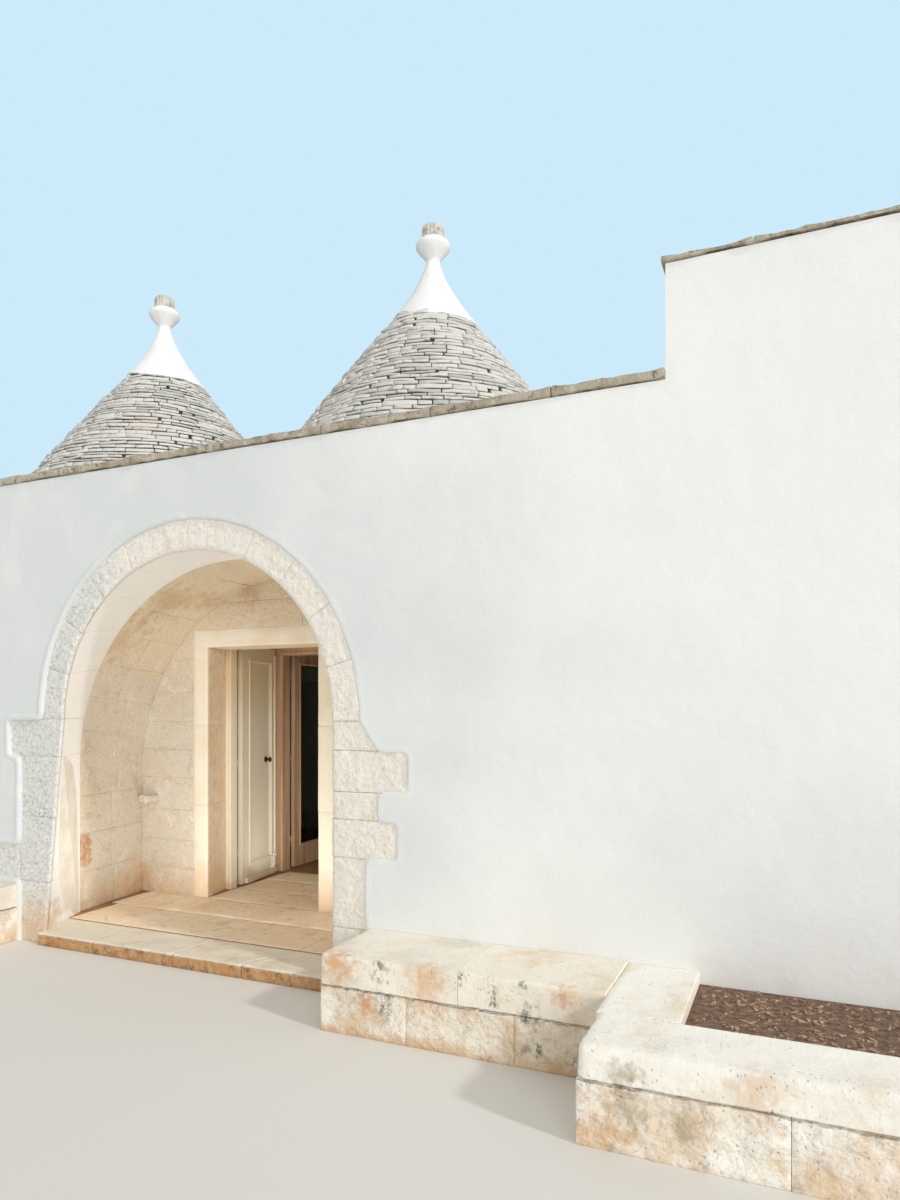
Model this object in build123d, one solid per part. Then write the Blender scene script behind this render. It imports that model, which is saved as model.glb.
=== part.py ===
from build123d import *
import math
import os

# Trullo house: a whitewashed stone house with two corbelled cones behind its parapet, a
# vaulted porch behind a round stone portal, a pair of panelled doors with a pair of glazed
# doors behind it, stone benches, and a stone planter under a higher flat-roofed room.
# The origin is on the ground, under the middle of the portal, in the plane of the facade.
# X runs along the facade to the right, Y runs into the house, Z is up. Millimetres.

# Outer walls
half_length = 7200          # from the portal's centre line to either end of the house
house_depth = 7300          # facade to the outside of the back wall
wall_over_portal = 80       # plaster between the portal's crown and the terrace
terrace_thickness = 150
parapet_height = 160        # upstand above the terrace
parapet_thickness = 350
coping_thickness = 60
coping_overhang = 20

# Higher flat-roofed room at the right
raised_start = 3000         # where the facade steps up
raised_extra = 500          # how much higher its walls are
raised_parapet = 225
raised_coping = 35          # thickness of its thin coping
raised_wall = 800           # front and end walls
raised_side_wall = 600      # wall that stands beside the terrace

# Domed rooms
right_dome_x = -260         # axis of the cone behind the door
cross_wall_thickness = 700
back_wall_thickness = 1050
corner_rounding = 40        # the plaster rolls round the house's outer corners
inner_arch_radius = 500     # passages between the rooms
inner_arch_springing = 1500
floor_height = 90           # above the ground outside

# Cones
cone_base_radius = 2510
cone_top_radius = 590
cone_height = 2790
cone_bulge = 85             # how far the slope swells beyond a straight one
cone_margin = 70            # between a cone's foot and the coping
cone_lifts = 12             # number of lifts of stone, each set back behind the one below
cone_ledge = 18             # depth of each set-back
cone_sides = 40             # number of flats round a cone
dome_ledge = 60             # between the dome's foot and the wall of the room
dome_rise = 2550
dome_eye_radius = 320       # the closing slab at the dome's top
dome_lifts = 5              # number of rings inside

# Limewashed caps with their pinnacles
cap_height = 900
cap_sweep = 1.25            # power of the hollow curve from the cap's foot to its neck
cap_lifts = 6               # number of rings in that curve
cap_sides = 24              # number of flats round a cap
neck_radius = 75
bowl_radius = 200
bowl_height = 240
bowl_rim = 50               # upright band round the bowl
bowl_bevel = 50             # slope from the bowl's rim in to the crown stone
crown_radius = 135
crown_height = 160
crown_bevel = 30
crown_sides = 12            # number of flats round a crown stone

# Portal: a round arch with a splayed reveal
arch_radius = 1100
springing_height = 1580
ring_width = 190
portal_depth = 500
portal_recess = 25          # the stone lies behind the face of the plaster
left_foot_width = 180       # how far the left jamb leans out towards the ground
portal_wall_half = 2000     # half the length of wall that holds the portal
jamb_width_left = 410
jamb_width_right = 230
quoin_left_top = 690        # long stone low in the left jamb
quoin_left_height = 260
quoin_left_length = 390
impost_length = 110         # stone under the arch's left foot
impost_height = 290
quoin_right_tops = (1010, 1410)
quoin_right_heights = (220, 240)
quoin_right_lengths = (200, 270)
neck_between_quoins = 80    # how far the jamb stays wider between its right quoins

# Vaulted porch behind the portal
vault_half_front = 1480
vault_half_back = 1580
vault_rise = 20             # the vault's crown over that of the portal
vault_courses = 24          # number of flat courses round the portal and the vault
porch_wall_height = 1200    # the side walls carry the vault from here up
porch_depth = 1250
kerb_depth = 330
kerb_projection = 30

# Doorway in the porch's back wall
door_axis_x = -340
door_half_width = 540
door_height = 2165          # underside of the stone lintel
surround_depth = 330
surround_band = 135
reveal_splay = 85           # each side opens out by this much across the stone reveal
outer_frame_sight = 65      # width of frame that shows beside the stone
outer_frame_tuck = 10       # width of frame hidden behind the stone
outer_frame_depth = 75
passage_splay = 105
passage_depth = 745         # between the outer frame and the inner frame
inner_frame_sight = 130
inner_frame_depth = 120

# Door leaves
leaf_gap = 5                # between a shut leaf and its frame
floor_gap = 10              # under each leaf
meeting_gap = 8             # between the two leaves of a pair
outer_leaf_thickness = 45
outer_leaf_overlap = 50     # how far a shut leaf laps over its frame
outer_open_angle = 98
panel_margin = 85
panel_foot = 170            # from the leaf's foot up to the sunk panel
panel_sink = 10
weather_bar_height = 45
weather_bar_depth = 24
inner_leaf_thickness = 40
inner_leaf_overlap = 35
inner_open_angle = 90
stile_width = 100
bottom_rail = 200
glass_thickness = 8

# Hinges and knob
pivot_offset = 12           # hinge axis to the leaf's edge, and to its face
knuckle_radius = 9
knuckle_height = 45
knuckle_gap = 0.3
plate_thickness = 6
strap_length = 60
hinge_heights = (350, 1150, 1950)
knob_from_pivot = 450
knob_height = 1180
knob_radius = 23
knob_reach = 55
knob_thickness = 22
knob_bevel = 6
knob_neck_radius = 11
knob_sides = 16             # number of flats round the knob
rose_radius = 27
rose_thickness = 6

# Benches and planter
bench_depth = 500
bench_height = 400
bench_length = 1480
bench_left_end = -1520      # the end next to the portal
bench_right_start = 1340
planter_depth = 1030
planter_height = 390
planter_wall = 340
planter_length = 3100
soil_depth = 330
worn_edge = 28              # rounded top edges

# Heights and places worked out from those above
wall_height = springing_height + arch_radius + ring_width + wall_over_portal
vault_crown = springing_height + arch_radius + vault_rise
roof_level = wall_height + terrace_thickness
raised_height = wall_height + raised_extra
raised_roof_level = raised_height + terrace_thickness
stone_back = porch_depth + surround_depth
frame_back = stone_back + outer_frame_depth
inner_frame_front = frame_back + passage_depth
room_front = inner_frame_front + inner_frame_depth
surround_top = door_height + surround_band
coping_inner = parapet_thickness + coping_overhang
frame_half = door_half_width + reveal_splay + outer_frame_tuck
outer_clear = door_half_width + reveal_splay - outer_frame_sight
passage_half = frame_half + passage_splay
inner_clear = passage_half - inner_frame_sight
left_dome_x = -half_length + coping_inner + cone_margin + cone_base_radius
dome_axis_y = house_depth - coping_inner - cone_margin - cone_base_radius
valley_x = (left_dome_x + right_dome_x) / 2
room_width = right_dome_x - left_dome_x - cross_wall_thickness
room_back = house_depth - back_wall_thickness
dome_springing_radius = room_width / 2 - dome_ledge
left_room = (left_dome_x - room_width / 2, left_dome_x + room_width / 2)
middle_room = (right_dome_x - room_width / 2, right_dome_x + room_width / 2)
right_room = (raised_start + raised_side_wall, half_length - raised_wall)

parts = {}


def block(x0, x1, y0, y1, z0, z1):
    """A box between two corners."""
    low_corner = (Align.MIN, Align.MIN, Align.MIN)
    return Pos(x0, y0, z0) * Box(x1 - x0, y1 - y0, z1 - z0, align=low_corner)


def upright(points, y0, y1):
    """An outline in X and Z that runs from y0 to y1."""
    outline = Polyline(*[(x, y0, z) for x, z in points], close=True)
    return extrude(make_face(outline), amount=y1 - y0, dir=(0, 1, 0))


def plan(points, z0, z1):
    """An outline in X and Y that runs from z0 to z1."""
    outline = Polyline(*[(x, y, z0) for x, y in points], close=True)
    return extrude(make_face(outline), amount=z1 - z0, dir=(0, 0, 1))


def arch_face(x, y, foot_left, foot_right, radius, springing, sill=0):
    """Face of a round-headed opening round the vertical line at x, y."""
    left = (x - radius, y, springing)
    right = (x + radius, y, springing)
    edges = [ThreePointArc(left, (x, y, springing + radius), right)]
    if springing > sill:
        edges.append(Line(right, (x + foot_right, y, sill)))
        edges.append(Line((x + foot_right, y, sill), (x - foot_left, y, sill)))
        edges.append(Line((x - foot_left, y, sill), left))
    else:
        edges.append(Line(right, left))
    return make_face(edges)


def flat_sided(rings):
    """Solid through outlines of as many points each, with flat faces between one and the next."""
    outlines = [rings[0], rings[-1]]
    for lower, upper in zip(rings, rings[1:]):
        for point in range(len(lower)):
            corners = [lower[point - 1], lower[point], upper[point], upper[point - 1]]
            sides = [Vector(corner) - Vector(corners[0]) for corner in corners[1:]]
            if abs(sides[0].cross(sides[1]).dot(sides[2])) < 1:
                outlines.append(corners)
            else:
                outlines.append(corners[:3])
                outlines.append([corners[0], corners[2], corners[3]])
    flats = [Face(Wire.make_polygon(outline, close=True)) for outline in outlines]
    return Part() + Solid(Shell(flats))


def polygon_rings(rings, sides):
    """Flat-sided solid about the Z axis through level rings, each given by its radius and height."""
    turns = [2 * math.pi * side / sides for side in range(sides)]
    return flat_sided([[(radius * math.cos(turn), radius * math.sin(turn), z) for turn in turns]
                       for radius, z in rings])


def softened(shape, *corners):
    """The shape with its upright edges at these corners of the plan rounded."""
    edges = [edge for edge in shape.edges().filter_by(Axis.Z)
             if any(math.hypot(edge.center().X - x, edge.center().Y - y) < 1 for x, y in corners)]
    return fillet(edges, corner_rounding)


def both_sides(right_points):
    """Plan outline that is the same either side of the doorway's centre line."""
    right_side = [(door_axis_x + half, y) for half, y in right_points]
    left_side = [(door_axis_x - half, y) for half, y in reversed(right_points)]
    return right_side + left_side


def across_doorway(shape):
    """The same piece on the other side of the doorway's centre line."""
    return mirror(shape, about=Plane.YZ.offset(door_axis_x))


# Spaces that the portal, the porch, the doorway and the passages leave open


def arch_outline(radius, springing, y, left_foot=0):
    """Outline of an arched space at y, with a flat for each course, and its left foot further out."""
    turns = [math.pi * course / vault_courses for course in range(vault_courses + 1)]
    curve = [(radius * math.cos(turn), y, springing + radius * math.sin(turn)) for turn in turns]
    return [(radius, y, 0), *curve, (-radius - left_foot, y, 0)]


portal_front = arch_outline(arch_radius, springing_height, 0, left_foot_width)
porch_front = arch_outline(vault_half_front, vault_crown - vault_half_front, portal_depth)
porch_rear = arch_outline(vault_half_back, vault_crown - vault_half_back, porch_depth)
portal_space = flat_sided([portal_front, porch_front])
porch_space = flat_sided([porch_front, porch_rear])

stone_reveal_plan = both_sides([
    (door_half_width, porch_depth),
    (door_half_width + reveal_splay, stone_back),
])
passage_plan = both_sides([
    (frame_half, stone_back),
    (frame_half, frame_back),
    (passage_half, inner_frame_front),
    (passage_half, room_front),
])


def inner_arch(x0, x1):
    """Round-headed passage along X between two rooms."""
    opening = arch_face(0, 0, inner_arch_radius, inner_arch_radius, inner_arch_radius,
                        inner_arch_springing)
    passage = extrude(opening, amount=x1 - x0, dir=(0, 1, 0))
    return Pos(x1, dome_axis_y, 0) * Rot(0, 0, 90) * passage


# Masonry of the ground floor, split beside and over the openings

parts["front_wall_left"] = softened(
    block(-half_length, -portal_wall_half, 0, room_front, 0, wall_height), (-half_length, 0))
parts["left_wall"] = block(-half_length, left_room[0], room_front, room_back, 0, wall_height)
parts["cross_wall"] = (
    block(left_room[1], middle_room[0], room_front, room_back, 0, wall_height)
    - inner_arch(left_room[1], middle_room[0])
)
middle_wall_plan = [
    (portal_wall_half, 0), (raised_start, 0), (raised_start, room_back), (middle_room[1], room_back),
    (middle_room[1], room_front), (portal_wall_half, room_front),
]
parts["middle_wall"] = (
    plan(middle_wall_plan, 0, wall_height) - inner_arch(middle_room[1], raised_start)
)
parts["raised_side_wall"] = (
    block(raised_start, right_room[0], raised_wall, room_back, 0, raised_height)
    - inner_arch(raised_start, right_room[0])
)
parts["raised_front_wall"] = softened(
    block(raised_start, half_length, 0, raised_wall, 0, raised_height), (half_length, 0))
parts["right_wall"] = block(right_room[1], half_length, raised_wall, room_back, 0, raised_height)
parts["back_wall"] = softened(
    block(-half_length, raised_start, room_back, house_depth, 0, wall_height)
    + block(raised_start, half_length, room_back, house_depth, 0, raised_height),
    (-half_length, house_depth), (half_length, house_depth))

# Portal: quoined jambs, and the ring between them and the wall that holds them

left_outer = -arch_radius - jamb_width_left
impost_top = springing_height + portal_recess
left_jamb_outline = [
    (left_outer, 0),
    (left_outer, quoin_left_top - quoin_left_height),
    (left_outer - quoin_left_length, quoin_left_top - quoin_left_height),
    (left_outer - quoin_left_length, quoin_left_top),
    (left_outer, quoin_left_top),
    (left_outer, impost_top - impost_height),
    (left_outer - impost_length, impost_top - impost_height),
    (left_outer - impost_length, springing_height),
    (0, springing_height),
    (0, 0),
]
right_outer = arch_radius + jamb_width_right
low_quoin, high_quoin = quoin_right_tops
right_jamb_outline = [
    (0, 0),
    (right_outer, 0),
    (right_outer, low_quoin - quoin_right_heights[0]),
    (right_outer + quoin_right_lengths[0], low_quoin - quoin_right_heights[0]),
    (right_outer + quoin_right_lengths[0], low_quoin),
    (right_outer + neck_between_quoins, low_quoin),
    (right_outer + neck_between_quoins, high_quoin - quoin_right_heights[1]),
    (right_outer + quoin_right_lengths[1], high_quoin - quoin_right_heights[1]),
    (right_outer + quoin_right_lengths[1], high_quoin),
    (right_outer + neck_between_quoins, high_quoin),
    (arch_radius + ring_width, springing_height),
    (0, springing_height),
]
ring_outer = arch_radius + ring_width
ring_face = arch_face(0, 0, ring_outer, ring_outer, ring_outer, springing_height, springing_height)
heel_outer = vault_half_front + ring_width
heel_front = portal_depth / 2
heel_face = arch_face(0, heel_front, heel_outer, heel_outer, heel_outer,
                      vault_crown - vault_half_front)
heel = extrude(heel_face, amount=portal_depth - heel_front, dir=(0, 1, 0))


def portal_stones(front):
    """Left jamb, right jamb and ring from the given depth, with heels that widen into the wall."""
    ring = Pos(0, front, 0) * extrude(ring_face, amount=portal_depth - front, dir=(0, 1, 0))
    left = upright(left_jamb_outline, front, portal_depth)
    right = upright(right_jamb_outline, front, portal_depth)
    left += heel & block(-heel_outer, 0, 0, portal_depth, 0, springing_height)
    right += heel & block(0, heel_outer, 0, portal_depth, 0, springing_height)
    ring += heel & block(-heel_outer, heel_outer, 0, portal_depth, springing_height, wall_height)
    return left, right, ring


left_jamb, right_jamb, ring = portal_stones(portal_recess)
parts["portal_jamb_left"] = left_jamb - portal_space
parts["portal_jamb_right"] = right_jamb - portal_space
parts["portal_arch"] = ring - portal_space
left_hole, right_hole, ring_hole = portal_stones(0)
parts["portal_wall"] = (
    block(-portal_wall_half, portal_wall_half, 0, portal_depth, 0, wall_height)
    - (left_hole + right_hole + ring_hole)
)

# Porch: side walls that lean into a barrel vault, stone floor and kerb

porch_mass = (
    block(-portal_wall_half, portal_wall_half, portal_depth, porch_depth, 0, wall_height)
    - porch_space
)
parts["porch_wall_left"] = porch_mass & block(
    -portal_wall_half, 0, portal_depth, porch_depth, 0, porch_wall_height)
parts["porch_wall_right"] = porch_mass & block(
    0, portal_wall_half, portal_depth, porch_depth, 0, porch_wall_height)
parts["porch_vault"] = porch_mass & block(
    -portal_wall_half, portal_wall_half, portal_depth, porch_depth, porch_wall_height, wall_height)

kerb_slab = block(-portal_wall_half, portal_wall_half, 0, kerb_depth, 0, floor_height)
kerb_lip = block(-arch_radius - left_foot_width, arch_radius, -kerb_projection, 0, 0, floor_height)
parts["porch_kerb"] = (portal_space & kerb_slab) + kerb_lip
inner_slab = block(-portal_wall_half, portal_wall_half, kerb_depth, porch_depth, 0, floor_height)
parts["porch_floor"] = (
    ((portal_space + porch_space) & inner_slab)
    + plan(stone_reveal_plan, 0, floor_height)
    + plan(passage_plan, 0, floor_height)
)

# Wall between the porch and the domed room, with the dressed stone round its doorway

surround_left = door_axis_x - door_half_width - surround_band
surround_right = door_axis_x + door_half_width + surround_band
surround_block = block(surround_left, surround_right, porch_depth, stone_back, 0, surround_top)
passage = plan(passage_plan, 0, surround_top)
parts["door_surround"] = surround_block - plan(stone_reveal_plan, 0, door_height)
doorway_wall = (
    block(-portal_wall_half, portal_wall_half, porch_depth, room_front, 0, surround_top)
    - surround_block
    - passage
)
parts["door_wall_left"] = doorway_wall & block(
    -portal_wall_half, door_axis_x, porch_depth, room_front, 0, surround_top)
parts["door_wall_right"] = doorway_wall & block(
    door_axis_x, portal_wall_half, porch_depth, room_front, 0, surround_top)
parts["door_wall_over"] = block(
    -portal_wall_half, portal_wall_half, porch_depth, room_front, surround_top, wall_height)

# Floor of the rooms, which runs through the passages between them

passage_floor_front = dome_axis_y - inner_arch_radius
passage_floor_back = dome_axis_y + inner_arch_radius
parts["room_floor"] = (
    block(*left_room, room_front, room_back, 0, floor_height)
    + block(left_room[1], middle_room[0], passage_floor_front, passage_floor_back, 0, floor_height)
    + block(*middle_room, room_front, room_back, 0, floor_height)
    + block(middle_room[1], right_room[0], passage_floor_front, passage_floor_back, 0, floor_height)
    + block(*right_room, raised_wall, room_back, 0, floor_height)
)

# Terrace with its parapet, open over the two rooms under the domes, and the higher flat roof

terrace = block(-half_length, raised_start, 0, house_depth, wall_height, roof_level)
terrace -= block(*left_room, room_front, room_back, wall_height, roof_level)
terrace -= block(*middle_room, room_front, room_back, wall_height, roof_level)
parapet = block(-half_length, raised_start, 0, house_depth, roof_level, roof_level + parapet_height)
parapet -= block(-half_length + parapet_thickness, raised_start, parapet_thickness,
                 house_depth - parapet_thickness, roof_level, roof_level + parapet_height)
parts["terrace_roof"] = softened(terrace + parapet, (-half_length, 0), (-half_length, house_depth))

raised_top = raised_roof_level + raised_parapet
raised_roof = block(raised_start, half_length, 0, house_depth, raised_height, raised_top)
raised_roof -= block(raised_start + parapet_thickness, half_length - parapet_thickness,
                     parapet_thickness, house_depth - parapet_thickness,
                     raised_roof_level, raised_top)
parts["raised_roof"] = softened(raised_roof, (half_length, 0), (half_length, house_depth))

coping_bed = roof_level + parapet_height
terrace_coping = block(-half_length - coping_overhang, raised_start, -coping_overhang,
                       house_depth + coping_overhang, coping_bed, coping_bed + coping_thickness)
terrace_coping -= block(-half_length + coping_inner, raised_start, coping_inner,
                        house_depth - coping_inner, coping_bed, coping_bed + coping_thickness)
parts["terrace_coping"] = terrace_coping
raised_ring = block(raised_start - coping_overhang, half_length + coping_overhang, -coping_overhang,
                    house_depth + coping_overhang, raised_top, raised_top + raised_coping)
raised_ring -= block(raised_start + coping_inner, half_length - coping_inner, coping_inner,
                     house_depth - coping_inner, raised_top, raised_top + raised_coping)
parts["raised_coping"] = raised_ring

# Corbelled cones: lifts of stone round a dome, each set back behind the one below. The two cones
# meet at a valley where their feet run together.

cone_top = roof_level + cone_height


def slope_radius(share):
    """Radius of the swelling outer slope at a share of its height."""
    straight = cone_base_radius + (cone_top_radius - cone_base_radius) * share
    return straight + 4 * cone_bulge * share * (1 - share)


def dome_radius(share):
    """Radius of the dome inside at a share of its rise."""
    eye_share = (dome_eye_radius / dome_springing_radius) ** 2
    return dome_springing_radius * (1 - share * (1 - eye_share)) ** 0.5


slope_rings = [(cone_base_radius, roof_level)]
for lift in range(1, cone_lifts):
    bed = roof_level + cone_height * lift / cone_lifts
    slope_rings.append((slope_radius(lift / cone_lifts) + cone_ledge / 2, bed))
    slope_rings.append((slope_radius(lift / cone_lifts) - cone_ledge / 2, bed))
slope_rings.append((cone_top_radius, cone_top))
dome_rings = [(dome_radius(i / dome_lifts), roof_level + dome_rise * i / dome_lifts)
              for i in range(dome_lifts + 1)]
shell = polygon_rings(slope_rings, cone_sides) - polygon_rings(dome_rings, cone_sides)
cone_spans = {"left": (left_dome_x, -half_length, valley_x),
              "right": (right_dome_x, valley_x, raised_start)}
for side, (axis_x, x0, x1) in cone_spans.items():
    cone = Pos(axis_x, dome_axis_y, 0) * shell
    parts[f"cone_{side}_front"] = cone & block(x0, x1, 0, dome_axis_y, roof_level, cone_top)
    parts[f"cone_{side}_back"] = cone & block(x0, x1, dome_axis_y, house_depth, roof_level, cone_top)

# Limewashed caps that sweep up to a neck and a bowl, and the crown stones on them


def cap_radius(share):
    """Radius of the hollow sweep at a share of its height."""
    return neck_radius + (cone_top_radius - neck_radius) * (1 - share) ** cap_sweep


rim_top = cone_top + cap_height + bowl_height
crown_top = rim_top + crown_height
cap_rings = [(cap_radius(i / cap_lifts), cone_top + cap_height * i / cap_lifts)
             for i in range(cap_lifts + 1)]
cap_rings += [(bowl_radius, rim_top - bowl_bevel - bowl_rim), (bowl_radius, rim_top - bowl_bevel),
              (crown_radius, rim_top)]
crown_rings = [(crown_radius, rim_top), (crown_radius, crown_top - crown_bevel),
               (crown_radius - crown_bevel, crown_top)]
cap = polygon_rings(cap_rings, cap_sides)
crown = polygon_rings(crown_rings, crown_sides)
dome_places = [Pos(axis_x, dome_axis_y, 0) for axis_x in (left_dome_x, right_dome_x)]
parts["cone_caps"] = Compound([place * cap for place in dome_places])
parts["crown_stones"] = Compound([place * crown for place in dome_places])

# Door frames, each with the lower knuckles that its leaves turn on

outer_frame = block(door_axis_x - frame_half, door_axis_x + frame_half, stone_back, frame_back,
                    floor_height, surround_top)
outer_frame -= block(door_axis_x - outer_clear, door_axis_x + outer_clear, stone_back, frame_back,
                     floor_height, door_height)
inner_frame = block(door_axis_x - passage_half, door_axis_x + passage_half, inner_frame_front,
                    room_front, floor_height, surround_top)
inner_frame -= block(door_axis_x - inner_clear, door_axis_x + inner_clear, inner_frame_front,
                     room_front, floor_height, door_height)


class Leaf:
    """Sizes and places of one left-hand leaf, shut against the back of its frame."""

    def __init__(self, clear_half, overlap, frame_face, thickness):
        self.edge_x = door_axis_x - clear_half - overlap
        self.meeting_x = door_axis_x - meeting_gap / 2
        self.front_y = frame_face + leaf_gap
        self.back_y = self.front_y + thickness
        self.foot_z = floor_height + floor_gap
        self.top_z = door_height + overlap
        self.frame_face = frame_face
        self.pivot_x = self.edge_x - pivot_offset
        self.pivot_y = self.back_y + pivot_offset

    def slab(self):
        """The plain slab of the leaf."""
        return block(self.edge_x, self.meeting_x, self.front_y, self.back_y, self.foot_z, self.top_z)

    def swung(self, shape, angle):
        """The shape, turned open about the hinge."""
        to_pivot = Pos(self.pivot_x, self.pivot_y, 0)
        return to_pivot * Rot(0, 0, angle) * to_pivot.inverse() * shape

    def upper_knuckles(self):
        """Knuckles and straps that the leaf carries."""
        pieces = Part()
        for height in hinge_heights:
            foot = height + knuckle_gap
            pieces += Pos(self.pivot_x, self.pivot_y, foot) * Cylinder(
                knuckle_radius, knuckle_height, align=(Align.CENTER, Align.CENTER, Align.MIN))
            pieces += block(self.pivot_x, self.edge_x + strap_length, self.back_y,
                            self.back_y + plate_thickness, foot, foot + knuckle_height)
        return pieces

    def lower_knuckles(self):
        """Knuckles and arms that the frame carries, under those of the leaf."""
        pieces = Part()
        for height in hinge_heights:
            pieces += Pos(self.pivot_x, self.pivot_y, height) * Cylinder(
                knuckle_radius, knuckle_height, align=(Align.CENTER, Align.CENTER, Align.MAX))
            pieces += block(self.pivot_x - plate_thickness / 2, self.pivot_x + plate_thickness / 2,
                            self.frame_face, self.pivot_y, height - knuckle_height, height)
        return pieces


outer = Leaf(outer_clear, outer_leaf_overlap, frame_back, outer_leaf_thickness)
inner = Leaf(inner_clear, inner_leaf_overlap, room_front, inner_leaf_thickness)
outer_arms = outer.lower_knuckles()
inner_arms = inner.lower_knuckles()
parts["outer_door_frame"] = outer_frame + outer_arms + across_doorway(outer_arms)
parts["inner_door_frame"] = inner_frame + inner_arms + across_doorway(inner_arms)

# Outer doors: boarded leaves with one sunk panel and a weather bar along the foot

outer_leaf = outer.slab() + outer.upper_knuckles()
outer_leaf -= block(outer.edge_x + outer_leaf_overlap + panel_margin, outer.meeting_x - panel_margin,
                    outer.front_y, outer.front_y + panel_sink,
                    outer.foot_z + panel_foot, outer.top_z - outer_leaf_overlap - panel_margin)
outer_leaf += block(outer.edge_x + outer_leaf_overlap + leaf_gap, outer.meeting_x,
                    outer.front_y - weather_bar_depth, outer.front_y,
                    outer.foot_z, outer.foot_z + weather_bar_height)
outer_leaf = outer.swung(outer_leaf, outer_open_angle)
parts["outer_door_left"] = outer_leaf
parts["outer_door_right"] = across_doorway(outer_leaf)

# Knob on the left leaf, turned about an axis square to the leaf's outer face

knob_rings = [
    (rose_radius, 0),
    (rose_radius, rose_thickness),
    (knob_neck_radius, rose_thickness),
    (knob_neck_radius, knob_reach - knob_thickness),
    (knob_radius, knob_reach - knob_thickness + knob_bevel),
    (knob_radius, knob_reach - knob_bevel),
    (knob_radius - knob_bevel, knob_reach),
]
knob = Rot(90, 0, 0) * polygon_rings(knob_rings, knob_sides)
knob_face_y = outer.front_y + panel_sink
knob_seat = Pos(outer.pivot_x + knob_from_pivot, knob_face_y, knob_height)
parts["outer_door_knob"] = outer.swung(knob_seat * knob, outer_open_angle)

# Inner doors: glazed leaves that open into the room

pane_edges = (inner.edge_x + stile_width, inner.meeting_x - stile_width)
pane_heights = (inner.foot_z + bottom_rail, inner.top_z - stile_width)
inner_leaf = inner.slab() + inner.upper_knuckles()
inner_leaf -= block(*pane_edges, inner.front_y, inner.back_y, *pane_heights)
pane_y = (inner.front_y + inner.back_y) / 2
pane = block(*pane_edges, pane_y - glass_thickness / 2, pane_y + glass_thickness / 2, *pane_heights)
inner_leaf = inner.swung(inner_leaf, inner_open_angle)
pane = inner.swung(pane, inner_open_angle)
parts["inner_door_left"] = inner_leaf
parts["inner_door_right"] = across_doorway(inner_leaf)
parts["inner_glass_left"] = pane
parts["inner_glass_right"] = across_doorway(pane)

# Benches against the facade, and the planter, with edges that are worn round


def worn_block(x0, x1, y0, y1, height):
    """A block of stone whose top edges away from the wall are rounded."""
    stone = block(x0, x1, y0, y1, 0, height)
    top_edges = stone.edges().group_by(Axis.Z)[-1]
    wall_edge = top_edges.sort_by(Axis.Y)[-1]
    return fillet([edge for edge in top_edges if edge != wall_edge], worn_edge)


parts["bench_left"] = worn_block(bench_left_end - bench_length, bench_left_end, -bench_depth, 0,
                                 bench_height)
parts["bench_right"] = worn_block(bench_right_start, bench_right_start + bench_length, -bench_depth,
                                  0, bench_height)
planter_x0 = bench_right_start + bench_length
planter_x1 = planter_x0 + planter_length
bed = block(planter_x0 + planter_wall, planter_x1 - planter_wall, -planter_depth + planter_wall, 0,
            0, planter_height)
parts["planter_wall"] = worn_block(planter_x0, planter_x1, -planter_depth, 0, planter_height) - bed
parts["planter_soil"] = block(planter_x0 + planter_wall, planter_x1 - planter_wall,
                              -planter_depth + planter_wall, 0, 0, soil_depth)

os.makedirs("parts", exist_ok=True)
for name, shape in parts.items():
    solids = shape.solids()
    export_step(solids[0] if len(solids) == 1 else Compound(solids), f"parts/{name}.step")
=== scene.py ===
import math
import random
from itertools import pairwise
import bmesh
import bpy
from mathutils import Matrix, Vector, noise


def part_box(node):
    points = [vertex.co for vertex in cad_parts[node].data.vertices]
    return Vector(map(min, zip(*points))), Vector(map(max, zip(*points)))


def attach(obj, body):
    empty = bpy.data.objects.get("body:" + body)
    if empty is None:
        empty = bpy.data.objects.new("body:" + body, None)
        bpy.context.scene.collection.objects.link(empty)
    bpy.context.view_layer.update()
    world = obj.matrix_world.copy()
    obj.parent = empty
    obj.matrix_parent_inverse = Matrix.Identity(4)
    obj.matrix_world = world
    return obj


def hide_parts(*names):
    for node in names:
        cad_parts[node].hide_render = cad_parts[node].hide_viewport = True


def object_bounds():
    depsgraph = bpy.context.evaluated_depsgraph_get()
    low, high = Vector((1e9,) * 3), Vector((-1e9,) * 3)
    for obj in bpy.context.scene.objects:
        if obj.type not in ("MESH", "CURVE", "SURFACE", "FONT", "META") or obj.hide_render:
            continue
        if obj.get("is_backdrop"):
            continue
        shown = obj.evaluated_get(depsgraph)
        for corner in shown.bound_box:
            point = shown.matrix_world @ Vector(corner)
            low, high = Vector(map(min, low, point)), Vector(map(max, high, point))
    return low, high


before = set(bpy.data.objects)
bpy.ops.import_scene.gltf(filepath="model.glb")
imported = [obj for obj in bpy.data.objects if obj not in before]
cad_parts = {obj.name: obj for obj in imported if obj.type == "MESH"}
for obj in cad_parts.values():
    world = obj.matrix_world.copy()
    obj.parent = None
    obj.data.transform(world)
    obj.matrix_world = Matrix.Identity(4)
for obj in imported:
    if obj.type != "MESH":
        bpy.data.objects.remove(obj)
cad_low, cad_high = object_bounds()

# Limewashed walls
# Thick walls of limestone rubble under a lime plaster that is brushed over with white limewash every
# year, so the surface is smooth but never flat, with soft hollows and fine brush marks. Rain and the
# ground leave it a little warmer at the foot. The wall is painted greyer towards the left as painted
# shade.


def tint(red, green, blue):
    """Linear colour and alpha of a colour as a paint chart gives it, 0 to 255."""
    return (*((part / 255) ** 2.2 for part in (red, green, blue)), 1)


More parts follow.
